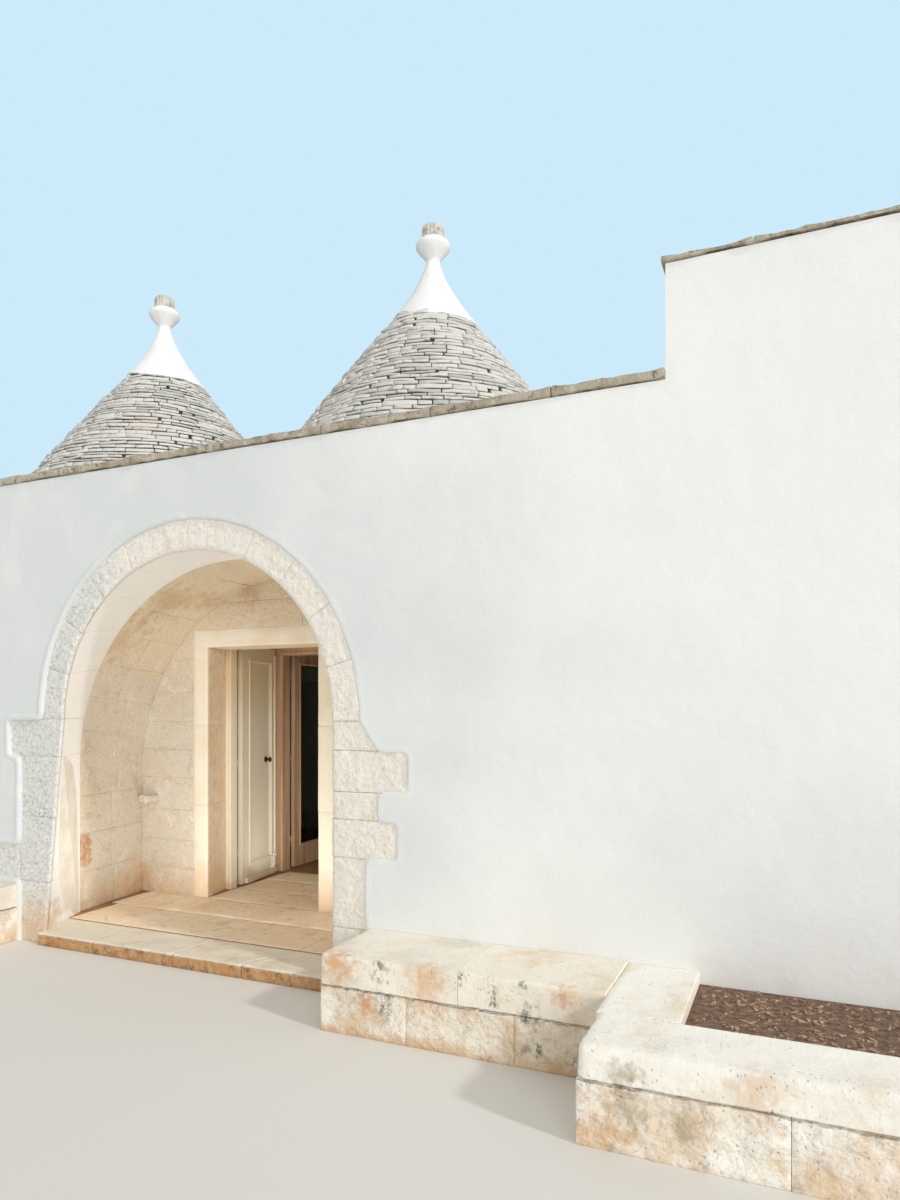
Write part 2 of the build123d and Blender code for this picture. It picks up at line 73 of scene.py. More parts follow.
def wired(tree, node, inputs):
    """Link a node's inputs to sockets, or set them to plain values, and give the node back."""
    for name, value in inputs.items():
        if isinstance(value, bpy.types.NodeSocket):
            tree.links.new(value, node.inputs[name])
        else:
            node.inputs[name].default_value = value
    return node


class Finish:
    """A material built up in layers over one colour, placed by the object's own coordinates."""

    def __init__(self, name, colour, roughness):
        self.material = bpy.data.materials.new(name)
        self.material.use_nodes = True
        self.tree = self.material.node_tree
        self.shader = self.tree.nodes["Principled BSDF"]
        self.colour = tint(*colour)
        self.normal = None
        wired(self.tree, self.shader, {"Base Color": self.colour, "Roughness": roughness})
        self.place = self.add("TexCoord", {}).outputs["Object"]

    def add(self, kind, inputs):
        """A new node with its inputs linked or set."""
        return wired(self.tree, self.tree.nodes.new("ShaderNode" + kind), inputs)

    def stretched(self, factors):
        """The object's coordinates, scaled along each axis."""
        return self.add("Mapping", {"Scale": factors, "Vector": self.place}).outputs["Vector"]

    def noise(self, scale, detail, roughness=0.55, factors=(1, 1, 1)):
        """Cloudy pattern from 0 to 1, scale times to the metre."""
        return self.add("TexNoise", {"Scale": scale, "Detail": detail, "Roughness": roughness,
                                     "Vector": self.stretched(factors)}).outputs["Fac"]

    def cells(self, scale):
        """Distance to scattered points, for pits."""
        return self.add("TexVoronoi", {"Scale": scale, "Vector": self.place}).outputs["Distance"]

    def along(self, axis):
        """The object's coordinate along X, Y or Z."""
        return self.add("SeparateXYZ", {"Vector": self.place}).outputs[axis]

    def combine(self, kind, first, second):
        """Two values added, multiplied and so on."""
        node = self.add("Math", {0: first, 1: second})
        node.operation = kind
        return node.outputs["Value"]

    def between(self, value, low, high, bottom=0, top=1):
        """The value goes smoothly from bottom at low to top at high."""
        node = self.add("MapRange", {"Value": value, "From Min": low, "From Max": high,
                                     "To Min": bottom, "To Max": top})
        node.interpolation_type = "SMOOTHSTEP"
        return node.outputs["Result"]

    def toned(self, low, high, strength):
        """A mask by the tone that each stone of a mesh carries."""
        node = self.add("Attribute", {})
        node.attribute_name = "tone"
        return self.between(node.outputs["Fac"], low, high, 0, strength)

    def cloud(self, scale, detail, low, high, strength=1, roughness=0.55, factors=(1, 1, 1), bottom=0):
        """A cloudy mask that has its strength where the pattern is over high."""
        return self.between(self.noise(scale, detail, roughness, factors), low, high, bottom, strength)

    def band(self, axis, scale, reach, low, high, bottom, top):
        """A mask that changes from low to high along an axis, and wanders by up to the reach."""
        wander = self.between(self.noise(scale, 5), 0.2, 0.8, -reach, reach)
        return self.between(self.combine("ADD", self.along(axis), wander), low, high, bottom, top)

    def near(self, centre, radius, strength=1, tall=1):
        """A ragged stain round a point, tall times as high as it is wide."""
        node = self.add("VectorMath", {0: self.stretched((1, 1, 1 / tall)),
                                       1: (centre[0], centre[1], centre[2] / tall)})
        node.operation = "DISTANCE"
        wander = self.cloud(7 / radius ** 0.5, 6, 0.25, 0.75, 0.6 * radius, bottom=-0.6 * radius)
        distance = self.combine("ADD", node.outputs["Value"], wander)
        return self.between(distance, 0, 1.5 * radius, strength, 0)

    def paint(self, colour, mask, *others):
        """Lay a colour over what is there, where all the masks are 1."""
        for other in others:
            mask = self.combine("MULTIPLY", mask, other)
        node = self.tree.nodes.new("ShaderNodeMix")
        node.data_type = "RGBA"
        wired(self.tree, node, {"Factor": mask, "A": self.colour, "B": tint(*colour)})
        self.colour = node.outputs["Result"]
        wired(self.tree, self.shader, {"Base Color": self.colour})

    def blotch(self, colour, scale, detail, low, high, strength, roughness=0.55, factors=(1, 1, 1),
               within=()):
        """Paint a colour in cloudy patches, where the masks it is kept within are 1."""
        self.paint(colour, self.cloud(scale, detail, low, high, strength, roughness, factors), *within)

    def emboss(self, height, distance):
        """Raise the surface by the height pattern, distance metres deep."""
        below = {} if self.normal is None else {"Normal": self.normal}
        node = self.add("Bump", {"Strength": 1, "Distance": distance, "Height": height, **below})
        self.normal = node.outputs["Normal"]
        wired(self.tree, self.shader, {"Normal": self.normal})

    def roughen(self, scale, detail, depth, roughness=0.55, factors=(1, 1, 1), within=()):
        """Emboss a cloudy pattern, where the masks it is kept within are 1."""
        height = self.noise(scale, detail, roughness, factors)
        for mask in within:
            height = self.combine("MULTIPLY", mask, height)
        self.emboss(height, depth)

    def pit(self, scale):
        """Scattered small pits, darker inside."""
        hollow = self.between(self.cells(scale), 0.05, 0.3, 1, 0)
        here = self.combine("MULTIPLY", hollow, self.cloud(scale / 5, 3, 0.42, 0.62))
        self.paint((154, 143, 123), here, 0.35)
        self.emboss(self.combine("SUBTRACT", 1, here), 0.003)

    def dress(self, *node_names):
        """Give the finish to nodes of the part."""
        for name in node_names:
            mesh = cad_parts[name].data
            mesh.materials.clear()
            mesh.materials.append(self.material)


limewash = Finish("limewash", (245, 246, 243), 0.9)
# Painted shade: the wall is painted greyer towards the left.
limewash.paint((220, 224, 223), limewash.band("X", 0.8, 0.8, 0.2, 3.3, 1, 0))
limewash.blotch((226, 228, 226), 0.6, 3, 0.45, 0.75, 0.5)
limewash.blotch((245, 244, 239), 2.3, 5, 0.5, 0.8, 0.5)
limewash.paint((233, 224, 208), limewash.band("Z", 3, 0.25, 0.05, 0.5, 0.5, 0))
limewash.roughen(0.9, 2, 0.03)
limewash.roughen(9, 4, 0.005)
limewash.roughen(60, 6, 0.001, factors=(1, 1, 2.5))
limewash.dress("front_wall_left", "left_wall", "cross_wall", "middle_wall", "raised_side_wall",
               "raised_front_wall", "right_wall", "back_wall", "portal_wall", "terrace_roof", "raised_roof")

# Plaster lip round the portal
# The plaster stops short of the dressed stone in a thick hand-rubbed lip, which follows the ring and
# steps round the long stones of the jambs. It stands a little proud of the wall and rolls over on to
# the stone behind it.

arch_radius = 1.10
ring_width = 0.19
ring_outer = arch_radius + ring_width
stone_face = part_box("portal_arch")[0].y
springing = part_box("portal_arch")[0].z
portal_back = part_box("portal_arch")[1].y
left_edge = -1.51
left_quoin = (0.43, 0.69, -1.90)
left_impost = (1.315, springing, -1.62)
right_edge = 1.33
right_neck = 1.41
right_quoins = ((0.79, 1.01, 1.53), (1.17, 1.41, 1.60))


def share(low, high, amount):
    """The value at a share of the way from low to high."""
    return low + (high - low) * amount


def add_object(name, data):
    """A new object in the scene."""
    thing = bpy.data.objects.new(name, data)
    bpy.context.scene.collection.objects.link(thing)
    return thing


def place_piece(name, mesh, finish, body, replaces=(), crease=50):
    """Put a mesh in the scene with its material, smooth except at its sharp edges."""
    shell = bmesh.new()
    shell.from_mesh(mesh)
    bmesh.ops.recalc_face_normals(shell, faces=shell.faces)
    shell.to_mesh(mesh)
    shell.free()
    mesh.materials.append(finish.material)
    mesh.polygons.foreach_set("use_smooth", [True] * len(mesh.polygons))
    mesh.set_sharp_from_angle(angle=math.radians(crease))
    piece = add_object(name, mesh)
    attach(piece, body)
    if replaces:
        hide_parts(*replaces)


def sweep(name, runs, finish, body, replaces=(), crease=50):
    """Place bodies that each run through rings of as many points, with flat ends."""
    points = []
    faces = []
    for rings in runs:
        first = len(points)
        count = len(rings[0])
        points += [point for ring in rings for point in ring]
        for row in range(first, len(points) - count, count):
            for column in range(count):
                after = (column + 1) % count
                faces.append((row + column, row + after, row + count + after, row + count + column))
        faces.append(tuple(range(first, first + count)))
        faces.append(tuple(range(len(points) - 1, len(points) - count - 1, -1)))
    mesh = bpy.data.meshes.new(name)
    mesh.from_pydata(points, [], faces)
    place_piece(name, mesh, finish, body, replaces, crease)


def rounded_route(corners, radius, spacing):
    """Points along straight runs joined by round corners, each with its direction."""
    corners = [Vector(corner) for corner in corners]
    route = []
    at = corners[0]
    for index in range(1, len(corners)):
        along = (corners[index] - corners[index - 1]).normalized()
        last = index == len(corners) - 1
        reach = 0 if last else min(radius, 0.45 * (corners[index] - corners[index - 1]).length)
        end = corners[index] - along * reach
        count = max(1, round((end - at).length / spacing))
        route += [(at.lerp(end, step / count), along) for step in range(count + 1)]
        if last:
            break
        after = (corners[index + 1] - corners[index]).normalized()
        start = corners[index] + after * reach
        for step in (0.25, 0.5, 0.75):
            point = end.lerp(corners[index], step).lerp(corners[index].lerp(start, step), step)
            route.append((point, along.lerp(after, step).normalized()))
        at = start
    return route


def round_stone(edge_below, edge_above, low, high, outer):
    """Corners of the way up a jamb's edge and round one of its long stones."""
    return [(edge_below, low), (outer, low), (outer, high), (edge_above, high)]


ring_steps = 60
lip_corners = [(left_edge, 0), *round_stone(left_edge, left_edge, *left_quoin),
               *round_stone(left_edge, -ring_outer, *left_impost)]
lip_corners += [(-ring_outer * math.cos(math.pi * step / ring_steps),
                 springing + ring_outer * math.sin(math.pi * step / ring_steps))
                for step in range(1, ring_steps)]
lip_corners += [(ring_outer, springing), *reversed(round_stone(right_neck, right_neck, *right_quoins[1])),
                *reversed(round_stone(right_edge, right_neck, *right_quoins[0])), (right_edge, 0)]
lip_section = [(0.046, 0.002), (0.030, -0.003), (0.016, -0.006), (0.004, -0.006), (-0.006, -0.002),
               (-0.012, 0.006), (-0.014, 0.034), (0.010, 0.034), (0.046, 0.012)]
lip_rings = []
for spot, along in rounded_route(lip_corners, 0.045, 0.035):
    away = Vector((-along.y, along.x))
    wander = 0.006 * noise.noise(Vector((spot.x * 7, 3, spot.y * 7)))
    swell = (1 if spot.x < 0 else 0.15) * (1 + 0.4 * noise.noise(Vector((spot.x * 4, 9, spot.y * 4))))
    lip_rings.append([(spot.x + away.x * (offset + wander), depth * (swell if depth < 0 else 1),
                       max(0, spot.y + away.y * (offset + wander))) for offset, depth in lip_section])
sweep("plaster_lip", [lip_rings], limewash, "house")

# Portal stones
# A round arch of eleven voussoirs on quoined jambs, cut from pale limestone. The face is dressed with a
# point, so it is pitted, and the reveal behind it is smoother and splays out into the vault. The stones
# sit in lime mortar a finger's depth behind the plaster, and their edges are worn round.

portal_mortar = Finish("portal_mortar", (238, 233, 221), 0.95)
portal_mortar.blotch((216, 208, 192), 6, 4, 0.4, 0.7, 0.6)
portal_mortar.roughen(45, 5, 0.003)
portal_mortar.dress("portal_arch", "portal_jamb_left", "portal_jamb_right")

portal_stone = Finish("portal_stone", (252, 252, 250), 0.92)
portal_stone.blotch((240, 232, 216), 2.2, 5, 0.55, 0.8, 0.4)
pointed_face = portal_stone.band("Y", 30, 0.004, 0.038, 0.054, 1, 0)
shaded_side = portal_stone.band("X", 2.5, 0.15, -0.85, -0.35, 1, 0)
shaded_face = portal_stone.combine("MULTIPLY", pointed_face, shaded_side)
# Painted shade: the pitted face is painted darker than the smooth reveal, and grey towards the left, for the
# shade in its pits.
portal_stone.paint((245, 238, 224), pointed_face, 0.9)
portal_stone.paint((226, 226, 221), shaded_face)
dark_grains = portal_stone.cloud(46, 4, 0.50, 0.64, roughness=0.7)
portal_stone.paint((210, 198, 176), dark_grains, pointed_face, 0.5)
portal_stone.paint((194, 193, 186), dark_grains, shaded_face)
portal_stone.blotch((240, 240, 236), 38, 4, 0.53, 0.63, 1, 0.7, within=(pointed_face,))
portal_stone.paint((214, 170, 118), portal_stone.near((-1.36, 0.02, 0.08), 0.26, 0.6))
open_pits = portal_stone.between(portal_stone.cells(45), 0.2, 0.35, 0.9, 0)
portal_stone.paint((60, 52, 44), portal_stone.near((-1.30, 0.02, 0.90), 0.09), open_pits)
portal_stone.roughen(24, 5, 0.018, 0.65, within=(pointed_face,))
portal_stone.roughen(22, 5, 0.004)


def uneven(start, end, mean, spread, rng):
    """Places that divide a length into stones of about the mean size."""
    count = max(1, round((end - start) / mean))
    weights = [1 + rng.uniform(-spread, spread) for _ in range(count)]
    places = [start]
    for weight in weights:
        places.append(places[-1] + weight * (end - start) / sum(weights))
    return places


def face_steps(length, worn, cell, bends, fine):
    """Steps across a stone, close together where its edges and its bends are worn round."""
    worn = min(worn, length * 0.3)
    count = max(1, round((length - 2 * worn) / cell))
    steps = [share(worn, length - worn, step / count) for step in range(count + 1)]
    for middle, radius in bends:
        steps = [step for step in steps if abs(step - middle) > 1.2 * radius]
        steps += [middle + radius * turn for turn in (-1, -0.5, 0, 0.5, 1)]
    edge = [0, 0.35 * worn] if fine else [0]
    return sorted(edge + steps + [length - step for step in edge])


def block_steps(length, worn, cell):
    """Steps through a whole stone, with its own wear at either end."""
    count = max(1, round((length - sum(worn)) / cell))
    steps = [share(worn[0], length - worn[1], step / count) for step in range(count + 1)]
    low = [0, 0.4 * worn[0]] if worn[0] > 0.006 else [0]
    high = [length - 0.4 * worn[1], length] if worn[1] > 0.006 else [length]
    return low + steps + high


def edge_drop(distance, worn):
    """How far a worn edge falls back at a distance from it."""
    if distance >= worn:
        return 0
    return worn * (1 - math.sqrt(max(0, 1 - (1 - distance / worn) ** 2)))


class Section:
    """A line across a stone's face that turns round worn corners, with the outside on its left."""

    def __init__(self, points, worn):
        self.points = [Vector(point) for point in points]
        self.worn = worn
        self.places = [0]
        for before, after in pairwise(self.points):
            self.places.append(self.places[-1] + (after - before).length)
        self.length = self.places[-1]
        self.bends = [(place, worn) for place in self.places[1:-1]]

    def leg(self, index):
        """Direction of one straight leg, and the way out from it."""
        along = (self.points[index + 1] - self.points[index]).normalized()
        return along, Vector((-along.y, along.x))

    def at(self, distance):
        """Point on the line and the way out, at a distance along it."""
        for corner in range(1, len(self.points) - 1):
            beyond = distance - self.places[corner]
            if abs(beyond) < self.worn:
                middle = self.points[corner]
                before, out_before = self.leg(corner - 1)
                after, out_after = self.leg(corner)
                turn = (beyond + self.worn) / (2 * self.worn)
                start = middle - before * self.worn
                end = middle + after * self.worn
                point = start.lerp(middle, turn).lerp(middle.lerp(end, turn), turn)
                return point, out_before.lerp(out_after, turn).normalized()
        index = 0
        while index < len(self.points) - 2 and distance > self.places[index + 1]:
            index += 1
        along, outward = self.leg(index)
        return self.points[index] + along * (distance - self.places[index]), outward


class Masonry:
    """Collects stones into one mesh. Each stone keeps a tone from 0 to 1 for its material. The seed
    fixes the draws and where the joints wander, so the stones come out the same on every run."""

    def __init__(self, seed):
        noise.seed_set(seed)
        self.rng = random.Random(seed)
        self.points = []
        self.faces = []
        self.tones = []

    def phase(self):
        """A place of its own in the noise, for one stone."""
        return Vector([self.rng.uniform(0, 90) for _ in range(3)])

    def stone(self, place, size, worn, cell, rough, joint=(0.001, 0.001), grain=9, out=0.006,
              bends=((), ()), fine=True):
        """One stone that shows one face. place(u, v, w) is the point u along, v up and w out of it, and
        the size is its length, its height and how deep it goes."""
        phase = self.phase()
        tone = self.rng.random()
        spans = [length - 2 * edge for length, edge in zip(size, joint)]
        turned = [[(middle - edge, radius) for middle, radius in turns] for turns, edge in zip(bends, joint)]
        steps_u, steps_v = [face_steps(span, worn, cell, turns, fine) for span, turns in zip(spans, turned)]
        first = len(self.points)
        lift = out + self.rng.uniform(-rough, rough) * 0.5
        for v in steps_v:
            for u in steps_u:
                drop = edge_drop(min(u, spans[0] - u), worn) + edge_drop(min(v, spans[1] - v), worn)
                at = Vector((u, v, 0)) * grain + phase
                w = lift - drop + rough * noise.noise(at) + 0.4 * rough * noise.noise(at * 2.7)
                wander = noise.noise_vector(Vector((u, v, 7)) * 6 + phase) * 0.8
                self.points.append(place(joint[0] * (1 + wander.x) + u, joint[1] * (1 + wander.y) + v, w))
        wide, tall = len(steps_u), len(steps_v)
        for row in range(tall - 1):
            for column in range(wide - 1):
                corner = first + row * wide + column
                self.faces.append((corner, corner + 1, corner + 1 + wide, corner + wide))
        rim = [(0, column) for column in range(wide)]
        rim += [(row, wide - 1) for row in range(1, tall)]
        rim += [(tall - 1, column) for column in range(wide - 2, -1, -1)]
        rim += [(row, 0) for row in range(tall - 2, 0, -1)]
        back = len(self.points)
        count = len(rim)
        for index, (row, column) in enumerate(rim):
            self.points.append(place(joint[0] + steps_u[column], joint[1] + steps_v[row], -size[2]))
            after = (index + 1) % count
            next_row, next_column = rim[after]
            self.faces.append((first + row * wide + column, back + index, back + after,
                               first + next_row * wide + next_column))
        self.faces.append(tuple(range(back + count - 1, back - 1, -1)))
        self.tones += [tone] * (len(self.points) - first)

    def block(self, place, size, worn, cell, rough, grain, tone=None):
        """One whole stone. place(u, v, w) is a point of its box, and worn is how far its edges are
        rounded at the low and the high end of each way. Hollows only go inward, and fade out towards
        an end that is hardly worn, where the next stone lies against it."""
        phase = self.phase()
        tone = self.rng.random() if tone is None else tone
        steps = [block_steps(length, ends, cell) for length, ends in zip(size, worn)]
        ways = range(3)
        tight = 0.007
        fade = 0.08
        numbers = {}

        def corner(grid):
            if grid not in numbers:
                spot = [steps[way][grid[way]] for way in ways]
                core = [min(max(spot[way], worn[way][0]), size[way] - worn[way][1]) for way in ways]
                radii = [worn[way][0] if spot[way] <= worn[way][0] else worn[way][1] for way in ways]
                lean = Vector([(spot[way] - core[way]) / radii[way] for way in ways]).normalized()
                at = Vector(spot) * grain + phase
                apart = [spot[way] for way in ways if worn[way][0] < tight]
                apart += [size[way] - spot[way] for way in ways if worn[way][1] < tight]
                hollow = rough * max(0, 0.5 + 0.5 * noise.noise(at) + 0.35 * noise.noise(at * 2.9))
                hollow *= share(0.03, 1, min(apart + [fade]) / fade)
                gives = [0 if radii[way] < tight else hollow for way in ways]
                numbers[grid] = len(self.points)
                self.points.append(place(*[core[way] + lean[way] * (radii[way] - gives[way])
                                           for way in ways]))
            return numbers[grid]

        first = len(self.points)
        for way, one, two in ((0, 1, 2), (1, 2, 0), (2, 0, 1)):
            for end in (0, len(steps[way]) - 1):
                for row in range(len(steps[one]) - 1):
                    for column in range(len(steps[two]) - 1):
                        face = []
                        for i, j in ((0, 0), (1, 0), (1, 1), (0, 1)):
                            grid = [0, 0, 0]
                            grid[way], grid[one], grid[two] = end, row + i, column + j
                            face.append(corner(tuple(grid)))
                        self.faces.append(tuple(face))
        self.tones += [tone] * (len(self.points) - first)

    def lay(self, name, finish, body, replaces=()):
        """The finished piece, riding on its body."""
        mesh = bpy.data.meshes.new(name)
        mesh.from_pydata(self.points, [], self.faces)
        mesh.attributes.new("tone", "FLOAT", "POINT").data.foreach_set("value", self.tones)
        place_piece(name, mesh, finish, body, replaces)


vault_half = 1.48
vault_crown = 2.70
vault_springing = vault_crown - vault_half
left_foot = 0.18
arris_worn = 0.018
under_plaster = 0.012
proud = 0.007
proud_right = 0.017


def ring_section(angle):
    """Section of the ring from under the plaster over the arris to the vault, square to its joints."""
    drop = springing - vault_springing
    back = math.sqrt(vault_half ** 2 - (drop * math.cos(angle)) ** 2) - drop * math.sin(angle)
    return Section([(ring_outer + 0.004, stone_face), (arch_radius, stone_face), (back, portal_back)],
                   arris_worn)


def jamb_section(height, outer, side):
    """Section of a jamb at a height, from under the plaster over the arris to the porch wall."""
    front = arch_radius + (left_foot * (1 - height / springing) if side < 0 else 0)
    back = math.sqrt(vault_half ** 2 - max(0, height - vault_springing) ** 2)
    return Section([(outer, stone_face), (front, stone_face), (back, portal_back)], arris_worn)


def dressed_smooth(w, out):
    """Height of a face that is dressed smooth, with a quarter of the roughness about its middle level."""
    return w if w < -0.02 else out + (w - out) * 0.25


portal = Masonry(11)
voussoirs = 11
for index in range(voussoirs):
    start = math.pi * index / voussoirs
    end = math.pi * (index + 1) / voussoirs
    middle = ring_section((start + end) / 2)
    out = share(proud, proud_right, index / (voussoirs - 1))

    def on_ring(u, v, w, start=start, end=end, middle=middle, out=out):
        angle = share(start, end, u / ((end - start) * arch_radius))
        section = ring_section(angle)
        distance = v * section.length / middle.length
        spot, outward = section.at(distance)
        radius, y = spot + outward * (w if distance < ring_width else dressed_smooth(w, out))
        return (-radius * math.cos(angle), y, springing + radius * math.sin(angle))

    portal.stone(on_ring, ((end - start) * arch_radius, middle.length, 0.04), 0.004, 0.024, 0.5 * out,
                 grain=15, out=out, bends=((), middle.bends))

left_beds = ((0, 0.43, left_edge), (0.43, 0.89, left_edge), (0.89, 1.315, left_edge),
             (1.315, springing, left_impost[2]))
right_beds = ((0, 0.38, right_edge), (0.38, 0.79, right_edge), (0.79, 1.01, right_quoins[0][2]),
              (1.01, 1.17, right_neck), (1.17, 1.41, right_quoins[1][2]),
              (1.41, springing, right_neck - 0.03))
for side, beds, out in ((-1, left_beds, proud), (1, right_beds, proud_right)):
    for low, high, outer in beds:
        reach = abs(outer) + under_plaster
        middle = jamb_section((low + high) / 2, reach, side)

        def on_jamb(u, v, w, low=low, reach=reach, side=side, middle=middle, out=out):
            section = jamb_section(low + v, reach, side)
            distance = u * section.length / middle.length
            spot, outward = section.at(distance)
            x, y = spot + outward * (w if distance < section.places[1] else dressed_smooth(w, out))
            return (side * x, y, low + v)

        portal.stone(on_jamb, (middle.length, high - low, 0.04), 0.004, 0.025, 0.5 * out,
                     grain=13, out=out, bends=(middle.bends, ()))


def on_left_quoin(u, v, w):
    return (left_quoin[2] - under_plaster + u, stone_face - w, left_quoin[0] + v)


portal.stone(on_left_quoin, (left_edge - left_quoin[2], left_quoin[1] - left_quoin[0] + 0.01, 0.04),
             0.008, 0.025, 0.5 * proud, (0.004, 0.004), 13, proud)
portal.lay("portal_stones", portal_stone, "house")

# Porch walls and vault
# Side walls of squared limestone lean into a barrel vault whose courses run in from the portal. The
# joints are rubbed flush with lime, so they hardly show. Warm cream stone, orange at the foot and brown
# where water has come through.

porch_mortar = Finish("porch_mortar", (238, 227, 208), 0.95)
porch_mortar.blotch((218, 200, 172), 5, 4, 0.4, 0.7, 0.6)
porch_mortar.roughen(50, 5, 0.003)
porch_mortar.dress("porch_wall_left", "porch_wall_right", "porch_vault", "door_wall_left", "door_wall_right",
                   "door_wall_over")

porch_stone = Finish("porch_stone", (225, 214, 198), 0.9)
porch_stone.paint((228, 218, 201), porch_stone.toned(0.3, 0.9, 0.7))
porch_stone.blotch((220, 200, 168), 1.3, 5, 0.46, 0.76, 0.7)
porch_stone.blotch((204, 180, 144), 8, 6, 0.52, 0.68, 0.6, 0.7)
porch_stone.blotch((246, 236, 220), 6, 6, 0.54, 0.68, 0.7, 0.7)
porch_stone.paint((248, 230, 202), porch_stone.band("Z", 2, 0.2, 1.8, 2.3, 0, 0.75))
tooled = porch_stone.noise(60, 5, 0.7)
porch_stone.paint((200, 178, 144), porch_stone.between(tooled, 0.50, 0.70, 0, 0.55))
porch_stone.paint((246, 238, 224), porch_stone.between(tooled, 0.46, 0.34, 0, 0.5))
porch_stone.paint((228, 190, 144), porch_stone.band("Z", 5, 0.2, 0.05, 0.42, 0.5, 0))
red_stone = [porch_stone.band(axis, 24, 0.02, low, high, bottom, 1 - bottom) for axis, low, high, bottom in
             (("Z", 0.42, 0.46, 0), ("Z", 0.66, 0.70, 1), ("Y", 0.60, 0.64, 1), ("X", -1.2, -1.1, 1))]
porch_stone.paint((198, 140, 92), porch_stone.cloud(26, 5, 0.36, 0.56, 0.9, 0.7, bottom=0.25), *red_stone)
porch_stone.paint((214, 168, 120), porch_stone.near((-1.55, 1.18, 0.12), 0.18, 0.6))
for centre, radius, strength in (((-1.12, 0.56, 2.18), 0.24, 0.5), ((-0.80, 0.72, 2.47), 0.24, 0.55),
                                 ((-0.73, 1.08, 2.52), 0.12, 0.6), ((-0.45, 1.25, 2.58), 0.12, 0.55)):
    porch_stone.paint((208, 172, 122), porch_stone.near(centre, radius, strength))
porch_stone.roughen(9, 5, 0.02, 0.65)
porch_stone.emboss(porch_stone.combine("SUBTRACT", 1, tooled), 0.012)
porch_stone.pit(60)


def coursed(bottom, top, bed, spans, stone, rng):
    """Low, high, near and far of every stone in beds from bottom to top. A bed and a stone are each
    given by a mean size and a spread, and spans(low) gives the runs that a bed fills."""
    for low, high in pairwise(uneven(bottom, top, *bed, rng)):
        for start, end in spans(low):
            for near, far in pairwise(uneven(start, end, *stone, rng)):
                yield low, high, near, far


porch_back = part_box("porch_vault")[1].y
vault_half_back = 1.58
floor_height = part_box("porch_floor")[1].z


def half_width(y):
    """Half the width of the vault at a depth into the porch."""
    return share(vault_half, vault_half_back, (y - portal_back) / (porch_back - portal_back))


porch = Masonry(23)
for side in (-1, 1):
    for low, high, near, far in coursed(floor_height, vault_springing, (0.29, 0.12),
                                        lambda low: [(portal_back, porch_back)], (0.38, 0.25), porch.rng):

        def on_porch_wall(u, v, w, near=near, low=low, side=side):
            return (side * (half_width(near + u) - w), near + u, low + v)

        porch.stone(on_porch_wall, (far - near, high - low, 0.03), 0.003, 0.04, 0.003)
vault_courses = 17
for course in range(vault_courses):
    start = math.pi * course / vault_courses
    end = math.pi * (course + 1) / vault_courses
    for near, far in pairwise(uneven(portal_back, porch_back, 0.42, 0.3, porch.rng)):

        def on_vault(u, v, w, near=near, start=start, end=end):
            half = half_width(near + u)
            angle = share(start, end, v / ((end - start) * vault_half))
            rise = (half - w) * math.sin(angle)
            return (-(half - w) * math.cos(angle), near + u, vault_crown - half + rise)

        porch.stone(on_vault, (far - near, (end - start) * vault_half, 0.03), 0.003, 0.04, 0.003, out=proud)
porch.lay("porch_masonry", porch_stone, "house")

# Wall round the doorway
# The porch ends in a flat wall of the same squared stone, built round the door's dressed surround. A
# stone peg is let into it at the left, to hang a lamp from.

surround_low, surround_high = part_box("door_surround")
door_wall = Masonry(31)
reach = vault_half_back + 0.03
beside_door = ((-reach, surround_low.x), (surround_high.x, reach))
for bottom, top, spans in ((floor_height, surround_high.z, beside_door),
                           (surround_high.z, vault_crown + 0.02, ((-reach, reach),))):
    for low, high, near, far in coursed(bottom, top, (0.25, 0.12), lambda low: spans, (0.40, 0.3),
                                        door_wall.rng):

        def on_door_wall(u, v, w, near=near, low=low):
            return (near + u, porch_back - w, low + v)

        door_wall.stone(on_door_wall, (far - near, high - low, 0.03), 0.003, 0.04, 0.003)

peg_left = -1.54
peg_level = 0.855
peg_size = (0.15, 0.070, 0.12)


def on_peg(u, v, w):
    bulge = 0.045 * math.sin(2 * math.pi * u / peg_size[0])
    return (peg_left + u, porch_back - 0.105 + bulge + w, peg_level + v)


door_wall.block(on_peg, peg_size, ((0.02, 0.03), (0.03, 0.02), (0.02, 0.01)), 0.015, 0.004, 30, tone=1)
door_wall.lay("door_wall_masonry", porch_stone, "house")

# Dressed stone round the doorway
# Two jambs of three stones each under one long lintel, sawn flat and laid with thin joints. Each jamb
# turns the corner into a short reveal that opens out to the door frame.

surround_stone = Finish("surround_stone", (244, 233, 212), 0.85)
surround_stone.paint((248, 240, 224), surround_stone.between(surround_stone.along("Z"), 1.9, 2.2, 0, 0.9))
surround_stone.blotch((232, 208, 170), 2.5, 5, 0.45, 0.75, 0.6)
surround_stone.paint((226, 178, 122), surround_stone.band("Z", 6, 0.15, 0.1, 0.5, 0.5, 0))
door_reveal = surround_stone.between(surround_stone.along("Y"), porch_back + 0.01, porch_back + 0.04)
rubbed = surround_stone.cloud(18, 6, 0.36, 0.70, 0.8, 0.75, (1, 1, 0.8), bottom=0.1)
surround_stone.paint((232, 190, 136), door_reveal, rubbed)
surround_stone.roughen(40, 5, 0.004)
surround_stone.dress("door_surround")
door_axis = (surround_low.x + surround_high.x) / 2
door_half = 0.54
door_height = 2.165
surround_back = surround_high.y
reveal_splay = 0.085
surround = Masonry(37)
band = Section([(surround_high.x - door_axis, porch_back), (door_half, porch_back),
                (door_half + reveal_splay, surround_back)], 0.008)
for side in (-1, 1):
    for low, high in pairwise((floor_height, 0.86, 1.52, door_height)):

        def on_surround(u, v, w, low=low, side=side):
            spot, outward = band.at(u)
            x, y = spot + outward * w
            return (door_axis + side * x, y, low + v)

        surround.stone(on_surround, (band.length, high - low, 0.02), 0.003, 0.05, 0.002, out=0.005,
                       bends=(band.bends, ()))
lintel = Section([(surround_back, door_height), (porch_back, door_height), (porch_back, surround_high.z)],
                 0.008)


